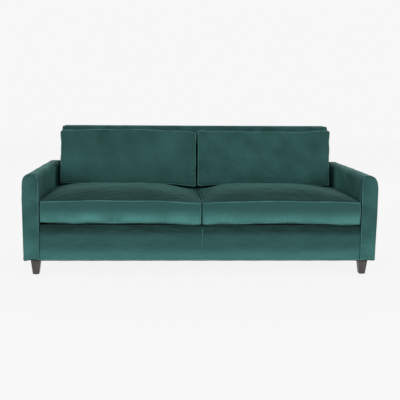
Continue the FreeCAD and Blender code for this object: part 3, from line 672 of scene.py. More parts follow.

# %% [markdown]
# A finished piece hides the solids it stands for and hangs on the body that carries it. Cords that
# belong together become one piece first.

# %% Joining and naming pieces
def join_pieces(name, pieces):
    """One object of several meshes in one material."""
    points, faces, start = [], [], 0
    for piece in pieces:
        mesh = piece.data
        points.append(points_of(mesh))
        faces += [[v + start for v in face.vertices] for face in mesh.polygons]
        start += len(mesh.vertices)
        bpy.data.objects.remove(piece)
    whole = bpy.data.meshes.new(name)
    whole.from_pydata(np.concatenate(points).tolist(), [], faces)
    whole.shade_smooth()
    return make_object(name, whole, mesh.materials[0])


def finish_piece(piece, slot, body, *nodes):
    """Hide the solids a piece stands for and hang it on the body that carries it; slot, the finish's name,
    is not used.
    """
    if nodes:
        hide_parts(*nodes)
    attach(piece, body)
    print(piece.name, "-", len(piece.data.vertices), "points")


# %% [markdown]
# ## Seat cushions
# Two deep seat cushions fill the space between the arms. The face is crowned and slopes off behind,
# under the back cushions. The filling lifts the welts a little in the middle and lets them drop at the
# ends, most of all where the two cushions meet. The lower half of the front border faces the pale
# floor, which lights it, and it is painted paler as well, a painted light from the floor, so it's the
# palest part of the sofa.

# %% Seat cushion shape
SEAT_LOW, SEAT_HIGH, SEAT_CROWN, SEAT_CORNER = 0.3110, 0.4370, 0.0500, 0.015
CROWN_SIDE, CROWN_FRONT, CROWN_REAR, FOOT_REACH = 0.17, 0.18, 0.32, 0.06
SEAT_FOOT = DECK + CLEAR
seat_half_a = (INSIDE_ARM - 2 * CLEAR) / 2 - FABRIC_INSET
seat_half_b = (BACK_AT_DECK - CLEAR - FRONT) / 2 - FABRIC_INSET
seat_centre = np.array([INSIDE_ARM / 2, (BACK_AT_DECK - CLEAR + FRONT) / 2, 0.0])


def seat_over(a, b):
    """The face's crown: a quarter ellipse from each side and the front, and a straight slope behind."""
    side_share = quarter((seat_half_a - np.abs(a)) / CROWN_SIDE)
    front_share = quarter((seat_half_b + b) / CROWN_FRONT)
    return SEAT_CROWN * side_share * front_share * np.clip((seat_half_b - b) / CROWN_REAR, 0, 1)


def seat_under(a, b):
    """The underside's bulge: a quarter ellipse from every side, down to the deck."""
    side_share = quarter((seat_half_a - np.abs(a)) / FOOT_REACH)
    return (SEAT_LOW - SEAT_FOOT) * side_share * quarter((seat_half_b - np.abs(b)) / FOOT_REACH)


def settle_seat(points, side):
    """Raise and drop the front welts and carry what lies between them along in proportion. The crown
    falls off to the right, and the rear corner at the sofa's middle droops."""
    a, b, c = points.T
    inner = -side * a / seat_half_a
    front = ease(-b, 0.05, seat_half_b)
    arch = np.cos(0.5 * math.pi * np.clip(a / seat_half_a, -1, 1))
    high = 0.006 * arch - 0.006 * ease(inner, 0.45, 1.0) + 0.0012 * np.sin(17 * a + 2.0 * side)
    outer_lift = 0.010 if side < 0 else -0.003
    low = 0.007 * arch + outer_lift * ease(-inner, 0.55, 1.0) - 0.003 * ease(inner, 0.7, 1.0)
    low += 0.0014 * np.sin(13 * a + 1.2 * side) + 0.0008 * np.sin(31 * a)
    share = np.clip((c - SEAT_LOW) / (SEAT_HIGH - SEAT_LOW), 0, 1)
    wider = -side * 0.0032 * ease(inner, 0.90, 1.0)
    fall = 0.25 * np.maximum(c - SEAT_HIGH, 0) * ease(a, 0.13, 0.36)
    droop = 0.017 * share * ease(inner, 0.50, 1.0) * ease(b, -0.10, seat_half_b)
    rise = -fall - droop + front * (low * (1 - share) + high * share)
    return points + np.stack([wider, 0 * a, rise], -1)


seat = Cushion(seat_half_a, seat_half_b, SEAT_CORNER, SEAT_LOW, SEAT_HIGH, seat_under, seat_over, 0.004)
seat_filling = seat.skin("seat_filling", 0.002)
seat_filling = fill_with_cloth(seat_filling, seat, 0.009, 0.016)
print("seat cushion height:", round(float(points_of(seat_filling)[:, 2].max()), 4))

# %% [markdown]
# Each seat cushion then gets its own creases, the lean of its pile, and a painted light from the pale
# floor on the lower part of its border. The two cushions would look stamped if they were alike, so waves
# and folds take their seeds or places from the side.

# %% Seat creases and nap
def seat_creases(side):
    """Pulls that fan out from the front corners, and one fold at a lower corner."""
    inner, front = -side * seat_half_a, -seat_half_b
    lines = []
    for end, long, short in ((inner, 0.085, 0.06), (-inner, 0.07, 0.05)):
        into = -np.sign(end)
        lines += [
            ((end, front, SEAT_HIGH - 0.012), (end + into * long, front, SEAT_HIGH - 0.040), 0.0016, 0.007),
            ((end, front, SEAT_LOW + 0.012), (end + into * long, front, SEAT_LOW + 0.034), 0.0020, 0.007),
            ((end, front, SEAT_LOW + 0.030), (end + into * short, front, SEAT_LOW + 0.060), 0.0014, 0.006),
            ((end, front + 0.02, SEAT_HIGH + 0.006), (end + into * 0.11, front + 0.10, SEAT_HIGH + 0.028),
             0.0024, 0.012),
        ]
    if side > 0:
        fold = (inner + 0.004, front, SEAT_LOW + 0.004), (inner + 0.05, front, SEAT_LOW + 0.066)
        lines.append((*fold, 0.0050, 0.008))
    else:
        fold = (-inner + 0.010, front, SEAT_LOW + 0.010), (-inner + 0.012, front, SEAT_LOW + 0.080)
        lines.append((*fold, 0.0030, 0.006))
    return lines


def seat_nap_and_painted_light(points, side):
    """How the pile leans, with painted light: low on the face, and high near the lower welt of the border,
    a painted light from the pale floor, in soft patches.
    """
    a, b, c = points.T
    facing = ease(-b, seat_half_b - 0.03, seat_half_b - 0.004) * ease(-c, -SEAT_HIGH - 0.008, -SEAT_HIGH)
    # painted light from the pale floor: the lower part of the front border is painted paler
    down = ease(-c, -SEAT_HIGH + 0.030, -SEAT_LOW - 0.010)
    patches = 0.10 * waves(points, 31 + int(side), 9, 0.12, 0.4)
    streaks = 0.04 * waves(points * np.array([1, 1, 0.35]), 35, 9, 0.015, 0.06)
    border = 0.30 + down * ((0.66 if side < 0 else 0.51) + patches + streaks)
    face = 0.07 - 0.02 * ease(b, -seat_half_b + 0.1, 0.1)
    face += 0.012 * waves(points, 37 + int(side), 9, 0.12, 0.5)
    return face * (1 - facing) + border * facing


print("creases on the left seat cushion:", len(seat_creases(-1.0)))

# %% [markdown]
# Now the two seat cushions can be made. Their piping follows both welts all round, and a thinner cord
# closes each front corner of the border. At the zip in the rear border the cloth stays flat.

# %% Seat cushions
ZIP_HEIGHT, SEAM_ROOM, FRONT_ROOM = 0.374, 0.0046, 0.008


def make_seat_cushion(name, side):
    """Fill, crease and settle one seat cushion, paint the lean of its pile and its painted light, and carry
    it to its place.
    """
    mesh = seat_filling.copy() if side < 0 else turned_over(seat_filling)
    mesh.name = name + "_seat_cushion"
    points, normals = points_of(mesh), normals_of(mesh)
    points += normals * (0.0007 * waves(points, 11 + int(side), 14, 0.03, 0.16))[:, None]
    a, b, c = settle_seat(crease(points, normals, seat_creases(side)), side).T
    a = np.clip(a, -seat_half_a - SEAM_ROOM, seat_half_a + SEAM_ROOM)
    off_zip = ease(np.abs(c - ZIP_HEIGHT), 0.006, 0.018)
    b = np.clip(b, -seat_half_b - FRONT_ROOM, seat_half_b + SEAM_ROOM * off_zip)
    points = np.stack([a, b, np.maximum(c, SEAT_FOOT)], -1)
    paint(mesh, "nap_and_painted_light", seat_nap_and_painted_light(points, side))
    move_points(mesh, points + seat_centre * (side, 1, 1))
    piece = make_object(name + "_seat_cushion", mesh, velvet_calm)
    finish_piece(piece, "velvet", name + "_seat_cushion", name + "_seat_cover", name + "_seat_core")


def make_seat_piping(name, side):
    """Both welts' cords and the two upright cords of the front corners, as one piece."""
    cords, skin = [], bpy.data.objects[name + "_seat_cushion"].data
    for i, height in enumerate((SEAT_HIGH + CORD_RISE, SEAT_LOW - CORD_RISE)):
        line = settle_seat(seat.welt(height, WELT_OUT), side) + seat_centre * (side, 1, 1)
        line = laid_on(line, skin, CORD_SEAT)
        cords.append(sweep(f"{name}_seat_cord_{i}", line, CORD, velvet_piping, closed=True))
    for end in (-1, 1):
        angle = math.radians(270 + 45 * end)
        rise = np.linspace(SEAT_LOW, SEAT_HIGH, 24)
        bow = np.sin(math.pi * (rise - SEAT_LOW) / (SEAT_HIGH - SEAT_LOW))
        reach = SEAT_CORNER + 0.0012 + 0.001 * bow
        line = np.stack([end * (seat_half_a - SEAT_CORNER) + reach * math.cos(angle),
                         -(seat_half_b - SEAT_CORNER) + reach * math.sin(angle), rise], -1)
        line = laid_on(settle_seat(line, side) + seat_centre * (side, 1, 1), skin, 0.0006, False)
        cords.append(sweep(f"{name}_seat_corner_{end}", line, 0.0020, velvet_piping, up=(1, 0, 0)))
    piping = join_pieces(name + "_seat_piping_cords", cords)
    # painted sheen: the seat's cords are painted paler than its cover
    paint(piping.data, "nap_and_painted_light", 0.50 + 0.15 * waves(points_of(piping.data), 5, 9, 0.02, 0.2))
    finish_piece(piping, "velvet_piping", name + "_seat_cushion", name + "_seat_piping")


for name, side in SIDES.items():
    make_seat_cushion(name, side)
    make_seat_piping(name, side)

# %% [markdown]
# ## Back cushions
# The back cushions are boxed like the seats, but thinner and softer. They stand on the seats and lean
# on the sloping back. Their upper welts sag towards the middle of the sofa, and their inner lower
# corners droop into the dip between the seat cushions, which pulls short creases out of the corners.

# %% Back cushion shape
BACK_LOW, BACK_HIGH, BACK_CROWN = 0.012, 0.138, 0.026
BACK_HEIGHT, BACK_OUTER = 0.360, 0.907
BACK_CORNER = 0.013
back_half_a = (BACK_OUTER - CLEAR) / 2 - FABRIC_INSET
back_half_b = BACK_HEIGHT / 2 - FABRIC_INSET
back_foot_z = SEAT_HIGH + 0.008
back_foot_y = BACK_AT_DECK + (back_foot_z - DECK) * BACK_RAKE - CLEAR
lean = math.atan(BACK_RAKE)


def back_over(a, b):
    """The front crown: quarter ellipses from both sides, the top and the foot."""
    side_share = quarter((back_half_a - np.abs(a)) / 0.20)
    return BACK_CROWN * side_share * quarter((back_half_b - b) / 0.11) * quarter((back_half_b + b) / 0.10)


def back_under(a, b):
    """The rear face's low bulge, from every side."""
    side_share = quarter((back_half_a - np.abs(a)) / 0.036)
    return BACK_LOW * side_share * quarter((back_half_b - np.abs(b)) / 0.036)


print(f"the back cushions lean by {math.degrees(lean):.1f} degrees")

# %% [markdown]
# The two back cushions have settled differently, so their upper welts and lower corners get formulas of
# their own. A last helper stands a cushion up where it belongs.

# %% Back cushion settling
def settle_back(points, side):
    """Sag of the upper edge and droop of the inner lower corner, spread down or up the cushion."""
    a, b, c = points.T
    inner = -side * a / back_half_a
    upper = ease(b, 0.0, back_half_b)
    if side < 0:
        top = 0.003 + 0.009 * np.cos(3.2 * a) - 0.006 * ease(inner, 0.35, 1.0) + 0.0012 * np.sin(23 * a)
        top -= 0.004 * np.exp(-((np.abs(a) - back_half_a) / 0.02) ** 2)
    else:
        top = 0.005 + 0.001 * ease(inner, -0.1, 1.0) + 0.008 * ease(-inner, 0.55, 1.0)
        top += 0.0012 * np.sin(21 * a)
    foot = -0.012 * ease(inner, 0.60, 1.0) - 0.004 * ease(a, 0.08, 0.30) + 0.002 * np.sin(9 * a + side)
    shift = upper * top + ease(-b, 0.0, back_half_b) * np.minimum(foot, 0.004)
    ripple = 0.0016 * np.sin(60 * b + 2.0) * ease(-inner, 0.9, 1.0) * ease(b, 0.02, 0.08)
    narrow = (0.009 if side > 0 else 0.002) * ease(-inner, 0.4, 1.0)
    return points + np.stack([-side * (ripple + narrow), shift, 0 * a], -1)


def place_back(points, side):
    """Stand the flat cushion up: b runs up the sloping back and c comes forward from it."""
    a, b, c = points.T
    b = b + BACK_HEIGHT / 2
    return np.stack([a + side * (BACK_OUTER + CLEAR) / 2,
                     back_foot_y + b * math.sin(lean) - c * math.cos(lean),
                     back_foot_z + b * math.cos(lean) + c * math.sin(lean)], -1)


back = Cushion(back_half_a, back_half_b, BACK_CORNER, BACK_LOW, BACK_HIGH, back_under, back_over, 0.003)
back_filling = back.skin("back_filling", 0.002, 26)
back_filling = fill_with_cloth(back_filling, back, 0.008, 0.014)
print("back cushion depth:", round(float(points_of(back_filling)[:, 2].max()), 4))

# %% [markdown]
# The creases are short lines on the cushion's face. They start at the inner lower corner of the left
# cushion and at both lower corners of the right one. The pile of the faces is stroked in wide, faint
# slanting patches.

# %% Back creases and nap
def back_creases(side):
    """Short pulls on the face that start at its lower corners and along its foot."""
    inner, foot, face = -side * back_half_a, -back_half_b, BACK_HIGH + 0.012
    lines = []
    reaches = ((0.082, 0.005, 0.010), (0.046, 0.004, 0.034), (0.030, -0.004, 0.050)) if side < 0 else (
        (0.060, 0.010, 0.012), (0.040, 0.0, 0.030))
    for run, start, rise in reaches:
        first = (inner, foot + 0.08 * (run > 0.08) + start, face - 0.010)
        lines.append((first, (inner + side * run, first[1] + rise, face + 0.004), 0.0042, 0.0080))
    if side > 0:
        for near, low, high, lean_in in ((0.018, 0.015, 0.060, 0.004), (0.050, 0.006, 0.050, -0.006),
                                         (0.088, 0.0, 0.042, 0.006), (0.010, 0.090, 0.125, 0.006)):
            end = (-inner - near - lean_in, foot + high, face + 0.006)
            lines.append(((-inner - near, foot + low, face), end, 0.0038, 0.0075))
        for start in (0.10, 0.16, 0.23):
            end = (inner + start + 0.055, foot + 0.020, face + 0.006)
            lines.append(((inner + start, foot + 0.012, face), end, 0.0026, 0.007))
    return lines


def back_nap(points, side):
    """How the pile leans: slanting patches and strokes, a little paler near the foot."""
    a, b, c = points.T
    slant = np.stack([a + 0.35 * b, b - 0.2 * a, c], -1)
    patches = 0.055 * waves(slant * (1, 0.8, 1), 51 + int(side), 10, 0.10, 0.40)
    strokes = 0.030 * waves(slant * (1, 0.3, 1), 57 + int(side), 10, 0.02, 0.08)
    lower = 0.06 * ease(-b, -0.12, 0.02)
    return 0.27 + lower + 0.62 * patches + 0.45 * strokes


print("creases on the back cushions:", len(back_creases(-1.0)), "and", len(back_creases(1.0)))

# %% [markdown]
# Each back cushion is made lying flat, as the seats are, and then stood up against the sloping back.
# Its inner end is held short of the other cushion's.

# %% Back cushions
def make_back_cushion(name, side):
    """Fill, crease and settle one back cushion, paint the lean of its pile and stand it up in its place."""
    mesh = back_filling.copy() if side < 0 else turned_over(back_filling)
    mesh.name = name + "_back_cushion"
    points, normals = points_of(mesh), normals_of(mesh)
    points += normals * (0.0008 * waves(points, 61 + int(side), 14, 0.03, 0.14))[:, None]
    points = crease(points, normals, back_creases(side))
    points = points * (1, 1, 0) + np.maximum(points[:, 2:], 0.0) * (0, 0, 1)
    a, b, c = settle_back(points, side).T
    inner_limit = back_half_a + 0.0050
    a = np.where(side * a < 0, side * np.maximum(side * a, -inner_limit), a)
    points = np.stack([a, b, c], -1)
    paint(mesh, "nap_and_painted_light", back_nap(points, side))
    move_points(mesh, place_back(points, side))
    piece = make_object(name + "_back_cushion", mesh, velvet)
    finish_piece(piece, "velvet", name + "_back_cushion", name + "_back_cover", name + "_back_core")


def make_back_piping(name, side):
    """The cords of both welts, as one piece."""
    cords, skin = [], bpy.data.objects[name + "_back_cushion"].data
    for i, height in enumerate((BACK_HIGH + CORD_RISE, BACK_LOW - CORD_RISE)):
        line = place_back(settle_back(back.welt(height, WELT_OUT), side), side)
        line = laid_on(line, skin, CORD_SEAT)
        cords.append(sweep(f"{name}_back_cord_{i}", line, CORD, velvet_piping, closed=True, up=(0, 1, 0)))
    piping = join_pieces(name + "_back_piping_cords", cords)
    # painted sheen: the back cushion's cords are painted paler than its cover
    paint(piping.data, "nap_and_painted_light", 0.42 + 0.15 * waves(points_of(piping.data), 6, 9, 0.02, 0.2))
    finish_piece(piping, "velvet_piping", name + "_back_cushion", name + "_back_piping")


for name, side in SIDES.items():
    make_back_cushion(name, side)
    make_back_piping(name, side)

# %% [markdown]
# ## Padded bars
# The arms and the back frame are timber boxes under foam and velvet. Each is one outline carried along
# an axis, and its ends round over into a face, as foam does under a tight cover. `padded_bar` makes
# such a skin. At an inset d from the outline, an end lies back by r - root(r squared - (r - d) squared)
# less than at the outline itself, where r is the rounding there.

# %% Padded bar
def end_rows(outline, spine, reach, rounding, rows, direction):
    """Rows from the outline (w = 0) to its spine (w = 1) at one end, with the end's rounding."""
    share = (np.linspace(0, 1, rows)[:, None]) ** 1.6
    flat = outline[None] + (spine - outline)[None] * share[..., None]
    inset = share * np.linalg.norm(spine - outline, axis=1)
    radius = np.maximum(rounding(outline[:, 0], outline[:, 1]), 1e-6)
    over = np.maximum(1 - inset / radius, 0)
    back_off = radius * (1 - np.sqrt(np.maximum(1 - over ** 2, 0)))
    return flat, reach(flat[..., 0], flat[..., 1]) - direction * back_off


def padded_bar(outline, spine, first, last, first_rounding, last_rounding, step=0.011, rows=22):
    """Grid of (u, v, t) points: the first end from its spine outwards, the sides, the last end. The ends
    and roundings are numbers or functions of (u, v)."""
    def field(value):
        return value if callable(value) else lambda u, v: value + 0 * u

    uv0, t0 = end_rows(outline, spine, field(first), field(first_rounding), rows, -1)
    uv1, t1 = end_rows(outline, spine, field(last), field(last_rounding), rows, 1)
    length = float(np.mean(t1[0] - t0[0]))
    share = np.linspace(0, 1, int(length / step) + 2)[1:-1, None]
    sides = t0[0] + (t1[0] - t0[0]) * share
    uv = np.concatenate([uv0[::-1], np.broadcast_to(outline, (len(share), *outline.shape)), uv1])
    return uv[..., 0], uv[..., 1], np.concatenate([t0[::-1], sides, t1])


def hem_drop(x, y):
    """How the bottom edge leaves the level: it dips at the front corners and lifts just inside them."""
    near = np.abs(x) - HALF_WIDTH
    front = ease(-y, 0.25, 0.42)
    dip = -0.0030 * np.exp(-((near + 0.004) / 0.018) ** 2)
    lift = 0.0045 * np.exp(-((near + 0.058) / 0.030) ** 2)
    return front * np.where(x < 0, dip + lift, 0.5 * dip + 0.4 * lift)


def hem_follow(x, y, z):
    """Carry a fabric's lower end along with the bottom edge, less and less up to 60 mm above it."""
    return z + hem_drop(x, y) * (1 - ease(z, BODY_FOOT, BODY_FOOT + 0.06))


print(f"the hem dips by {-1000 * float(hem_drop(-HALF_WIDTH, FRONT)):.1f} mm at the left front corner")

# %% [markdown]
# ## Arms
# A slim arm, square below and softly rounded on top. The cover runs from the outside over the top to
# the inside, and wraps over the front edge with a wide rounding at the top. A cord marks the seam up
# the inner front edge. Small pulls show near the hem, where the cover is stapled underneath.

# %% Arm shape
ARM_OUTER, ARM_INNER, ARM_CORE, OVER_FRONT = 0.045, 0.032, 0.044, 0.030
arm_corners = [(0, BODY_FOOT), (ARM_WIDTH, BODY_FOOT), (ARM_WIDTH, ARM_TOP), (0, ARM_TOP)]
arm_outline = rounded_path(arm_corners, [0.004, 0.004, ARM_OUTER, ARM_INNER], step=0.006)
arm_spine = np.stack([np.full(len(arm_outline), ARM_CORE),
                      np.clip(arm_outline[:, 1], BODY_FOOT + 0.03, ARM_TOP - ARM_CORE)], -1)


def arm_rounding(u, v):
    """The front edge's rounding: tight at the inner seam, softer outside, wide over the top."""
    side = 0.006 + (0.015 - 0.006) * ease(u, 0.0, ARM_WIDTH)
    top = ease(v, ARM_TOP - 0.075, ARM_TOP - 0.012)
    foot = ease(v, BODY_FOOT - 0.001, BODY_FOOT + 0.02)
    return (side + (0.040 - side) * top) * foot + 0.003 * (1 - foot)


def arm_flare(u, y, v):
    """The padding swells the arm's outer side by up to 5 mm, less towards the foot and the rear."""
    return 0.0052 * ease(v, 0.09, 0.40) * ease(u, 0.02, ARM_WIDTH) * ease(-y, -0.40, -0.20)


def arm_surface():
    """Points of one arm as (u, y, v), u measured outwards from the arm's inner face."""
    u, v, t = padded_bar(arm_outline, arm_spine, -(REAR - PANEL_WALL), -ARM_FRONT, 0.002, arm_rounding)
    return u, -t, v


print("an arm's grid:", arm_surface()[0].shape)

# %% [markdown]
# The arms' pulls differ from side to side. The inner side is painted darker, a painted shade, but paler
# at its rear, a painted fill light where the arm meets the back cushion, and the arm is painted paler near
# the hem, a painted light from the pale floor.

# %% Arms
def arm_creases(side):
    """Pulls on the front face near the hem, in (u, y, v)."""
    y = ARM_FRONT
    if side < 0:
        marks = ((0.006, 0.150, 0.040, 0.128, 0.0016), (0.004, 0.128, 0.050, 0.112, 0.0022),
                 (0.080, 0.104, 0.030, 0.120, 0.0020), (0.002, 0.300, 0.020, 0.285, 0.0012))
    else:
        marks = ((0.003, 0.250, 0.036, 0.232, 0.0022), (0.003, 0.205, 0.032, 0.182, 0.0022),
                 (0.003, 0.160, 0.040, 0.146, 0.0022), (0.030, 0.112, 0.075, 0.120, 0.0020),
                 (0.070, 0.300, 0.086, 0.330, 0.0012))
    return [((u0, y, v0), (u1, y, v1), depth, 0.009) for u0, v0, u1, v1, depth in marks]


def arm_nap_and_painted_light(u, y, v):
    """Painted light and shade: a trace paler on top, a painted highlight; paler near the hem, a painted
    light from the pale floor; darker on the inner side, a painted shade, but paler at its rear, a painted
    fill light.
    """
    front = ease(-y, -ARM_FRONT - 0.022, -ARM_FRONT - 0.004)
    top = ease(v, ARM_TOP - 0.040, ARM_TOP - 0.006) * (1 - front)
    inner = ease(-u, -0.010, -0.001) * (1 - front) * (1 - top)
    points = np.stack([u, y, v], -1)
    # painted light from the pale floor: paler towards the hem
    hem = ease(-v, -0.34, -0.11) * 0.30
    soft = 0.05 * waves(points, 71, 10, 0.05, 0.3) + 0.02 * waves(points, 73, 10, 0.01, 0.05)
    # painted shade on the inner side, and a painted fill light at its rear where the arm meets the back
    # cushion
    rear = ease(y, -0.10, 0.25) * inner
    return 0.31 + 0.02 * top - 0.10 * inner + 0.42 * rear + hem * (1 - inner) + soft


def make_arm(name, side):
    """Shape, crease and paint one arm. The left one is the right one's mirror image."""
    u, y, v = arm_surface()
    points = np.stack([u, y, v], -1)
    mesh = make_mesh(name + "_arm_upholstery", points, grid_faces(*u.shape, False, True), 4e-5)
    points, normals = points_of(mesh), normals_of(mesh)
    soft = 0.0006 * waves(points, 81 + int(side), 16, 0.04, 0.22) - 0.0006
    face = np.exp(-((points[:, 0] - 0.046) / 0.03) ** 2) * ease(-points[:, 1], 0.38, 0.43)
    points = crease(points + normals * (soft + 0.0022 * face)[:, None], normals, arm_creases(side))
    u, y, v = points.T
    u = np.maximum(u, 0.0)
    paint(mesh, "nap_and_painted_light", arm_nap_and_painted_light(u, y, v))
    x = side * (INSIDE_ARM + u + arm_flare(u, y, v))
    move_points(mesh, np.stack([x, y, hem_follow(x, y, v)], -1))
    if side < 0:
        mesh.flip_normals()
    piece = make_object(name + "_arm_upholstery", mesh, velvet)
    finish_piece(piece, "velvet", "frame", name + "_arm_cover", name + "_arm_front_panel",
                 name + "_arm_padding")


for name, side in SIDES.items():
    make_arm(name, side)

# %% [markdown]
# ## Back frame
# Behind the cushions stands the upholstered frame of the back. Its front leans, its top edge is
# rounded, and a seam runs up its middle and over the top, where it shows as a small nub.

# %% Back frame shape
BACK_SEAM_X = 0.006
SEAM_CORD = 0.0019
BACK_BOTTOM = 0.2806


def back_face(z):
    """Where the sloping inside of the back lies at a height."""
    return BACK_AT_DECK + (z - DECK) * BACK_RAKE


def back_half(z):
    """Half the back's width at a height: it narrows evenly towards the top."""
    low, high = INSIDE_ARM - 0.001, INSIDE_ARM - 0.0275
    return high + (BACK_TOP - z) * (low - high) / (BACK_TOP - DECK)


back_rear = REAR - PANEL_WALL
back_corners = [(back_face(BACK_BOTTOM), BACK_BOTTOM), (back_rear, BACK_BOTTOM),
                (back_rear, BACK_TOP), (back_face(BACK_TOP), BACK_TOP)]
back_outline = rounded_path(back_corners, [0.004, 0.004, 0.012, 0.024], step=0.005)
spine_y = 0.5 * (back_face(back_outline[:, 1]) + REAR)
back_spine = np.stack([spine_y, np.clip(back_outline[:, 1], BACK_BOTTOM + 0.06, BACK_TOP - 0.034)], -1)
print(f"the back is {2 * back_half(DECK):.3f} m wide at the deck, {2 * back_half(BACK_TOP):.3f} m on top")

# %% [markdown]
# The skin of the back is a padded bar on this outline. Its top has settled a little, and so has all that
# is sewn to it: the middle seam and the outside panel.

# %% Back frame
def settled_top(points):
    """The padding at the back's top has settled a little, most at the left end: a straight line."""
    x, y, z = points.T
    drop = 0.0024 - 0.0045 * x
    return np.stack([x, y, z - drop * ease(z, 0.60, BACK_TOP)], -1)


def make_back_frame():
    """The back's skin: its grid is pulled towards the seam, so that the seam runs along a line of it."""
    y, z, x = padded_bar(back_outline, back_spine, lambda y, z: -back_half(z), lambda y, z: back_half(z),
                         0.007, 0.007, 0.012, 18)
    x = np.where(np.abs(x) < 0.06, x + BACK_SEAM_X * (1 - np.abs(x) / 0.06), x)
    faces = grid_faces(*x.shape, False, True)
    mesh = make_mesh("back_frame_upholstery", np.stack([x, y, z], -1), faces, 4e-5)
    points, normals = points_of(mesh), normals_of(mesh)
    soft = 0.0008 * waves(points, 91, 18, 0.06, 0.35) - 0.0008
    seam = -0.0018 * np.exp(-((points[:, 0] - BACK_SEAM_X) / 0.006) ** 2)
    points += normals * (soft + seam)[:, None]
    y, z = points[:, 1], points[:, 2]
    points[:, 1] = np.where(y < 0.36, np.maximum(y, back_face(z)), y)
    paint(mesh, "nap_and_painted_light", 0.22 + 0.05 * waves(points, 93, 12, 0.06, 0.4))
    move_points(mesh, settled_top(points))
    piece = make_object("back_frame_upholstery", mesh, velvet)
    finish_piece(piece, "velvet", "frame", "back_cover", "back_padding", "back_webbing")


def seam_over_back():
    """The corded seam up the middle of the inside back and over its top."""
    y, z = back_outline[back_outline[:, 1] > DECK + 0.004].T
    order = np.argsort(np.where(y < 0.40, z, 2.0 - z))
    y, z = y[order], z[order]
    kept = (y < 0.42) | (z > 0.83)
    y, z = y[kept], z[kept]
    over_top = z > 0.83
    line = np.stack([0 * y + BACK_SEAM_X, y + 0.0012 * (z < 0.83), z - 0.0006 * over_top], -1)
    return sweep("back_frame_seam", settled_top(line), SEAM_CORD, velvet_piping, up=(1, 0, 0))


make_back_frame()
back_seam = seam_over_back()
paint(back_seam.data, "nap_and_painted_light", 0.2 + 0 * points_of(back_seam.data)[:, 0])
finish_piece(back_seam, "velvet_piping", "frame")

# %% [markdown]
# ## Outside back
# One panel closes the rear, from the hem up to the arms' height and on up behind the back. It's a thin
# shell with a little padding. Its grid has a middle part between the back's sloping sides and two
# shoulder parts behind the arms, which share their edges.

# %% Outside back grid
TOP_ROUND = 0.020


def rounded_off(z, top, radius):
    """How far a side has come in at a height, where it rounds over into a top."""
    return radius - np.sqrt(np.maximum(radius ** 2 - np.maximum(z - top + radius, 0) ** 2, 0))


def back_panel_parts():
    """The middle and the two shoulders of the panel, each a grid of (x, z)."""
    z_low = np.linspace(BODY_FOOT, ARM_TOP, 64)
    z_high = np.linspace(ARM_TOP, BACK_TOP - CLEAR, 36)[1:]
    z = np.concatenate([z_low, z_high])
    half = back_half(z) - rounded_off(z, BACK_TOP, TOP_ROUND)
    share = np.linspace(-1, 1, 161)
    middle = np.stack([half[:, None] * share, z[:, None] + 0 * share], -1)
    edge = HALF_WIDTH - rounded_off(z_low, ARM_TOP, ARM_OUTER)
    part = np.linspace(0, 1, 12)
    inner = back_half(z_low)
    right = inner[:, None] + (edge - inner)[:, None] * part
    right = np.stack([right, z_low[:, None] + 0 * part], -1)
    return middle, right, right[:, ::-1] * (-1, 1)


print("grids of the outside back:", [grid.shape[:2] for grid in back_panel_parts()])

# %% [markdown]
# The padding puffs the panel out by 3.5 mm away from its edges. A thin cord closes the seam up both
# sides, over the shoulders and across the top.

# %% Outside back
def make_back_panel():
    """The panel's three parts as one surface, puffed, painted and given its cloth's thickness."""
    points, faces, start = [], [], 0
    for grid in back_panel_parts():
        rows, columns = grid.shape[:2]
        y = np.full((rows, columns, 1), REAR)
        points.append(np.concatenate([grid[..., :1], y, grid[..., 1:]], -1).reshape(-1, 3))
        faces.append(grid_faces(rows, columns) + start)
        start += rows * columns
    points = np.concatenate(points)
    x, _, z = points.T
    within = np.minimum(HALF_WIDTH - np.abs(x), z - BODY_FOOT)
    above = np.minimum(back_half(z) - np.abs(x), BACK_TOP - z)
    within = np.maximum(np.where(z > ARM_TOP - 0.03, above, within), 0)
    puff = 0.0035 * (1 - np.exp(-within / 0.05)) + 0.0006 * waves(points, 101, 16, 0.08, 0.5)
    points[:, 1] = REAR + puff - CLEAR
    mesh = make_mesh("outside_back_panel", settled_top(points), np.concatenate(faces))
    if mesh.polygons[0].normal.y < 0:
        mesh.flip_normals()
    points = points_of(mesh)
    # painted light from the pale floor: the panel is painted paler towards its foot
    foot = 0.15 * ease(-points[:, 2], -0.2, -0.1)
    paint(mesh, "nap_and_painted_light", 0.27 + foot + 0.035 * waves(points, 103, 14, 0.1, 0.6))
    piece = make_object("outside_back_panel", mesh, velvet)
    wall = piece.modifiers.new("wall", "SOLIDIFY")
    wall.thickness, wall.offset = PANEL_WALL, -1
    piece.data = applied(piece)
    piece.modifiers.clear()
    finish_piece(piece, "velvet", "frame", "outside_back_cover")


def back_panel_cord():
    """The closing seam of the outside back: up both sides, over the shoulders and across the top."""
    corners = [(HALF_WIDTH, BODY_FOOT + 0.004), (HALF_WIDTH, ARM_TOP),
               (back_half(ARM_TOP), ARM_TOP), (back_half(BACK_TOP), BACK_TOP)]
    corners += [(-x, z) for x, z in reversed(corners)]
    radii = [0, ARM_OUTER, 0.010, TOP_ROUND]
    radii += radii[::-1]
    flat = rounded_path(corners, radii, closed=False, step=0.006)
    line = np.stack([flat[:, 0], np.full(len(flat), REAR - 0.0006), flat[:, 1]], -1)
    inward = np.array([0, 0, 0.4]) - line * (1, 0, 1)
    inward /= np.linalg.norm(inward, axis=1, keepdims=True)
    line = settled_top(line + 0.0012 * inward)
    return sweep("outside_back_seam", line, SEAM_CORD, velvet_piping, up=(0, 1, 0))


make_back_panel()
rear_seam = back_panel_cord()
paint(rear_seam.data, "nap_and_painted_light", 0.22 + 0 * points_of(rear_seam.data)[:, 0])
finish_piece(rear_seam, "velvet_piping", "frame")

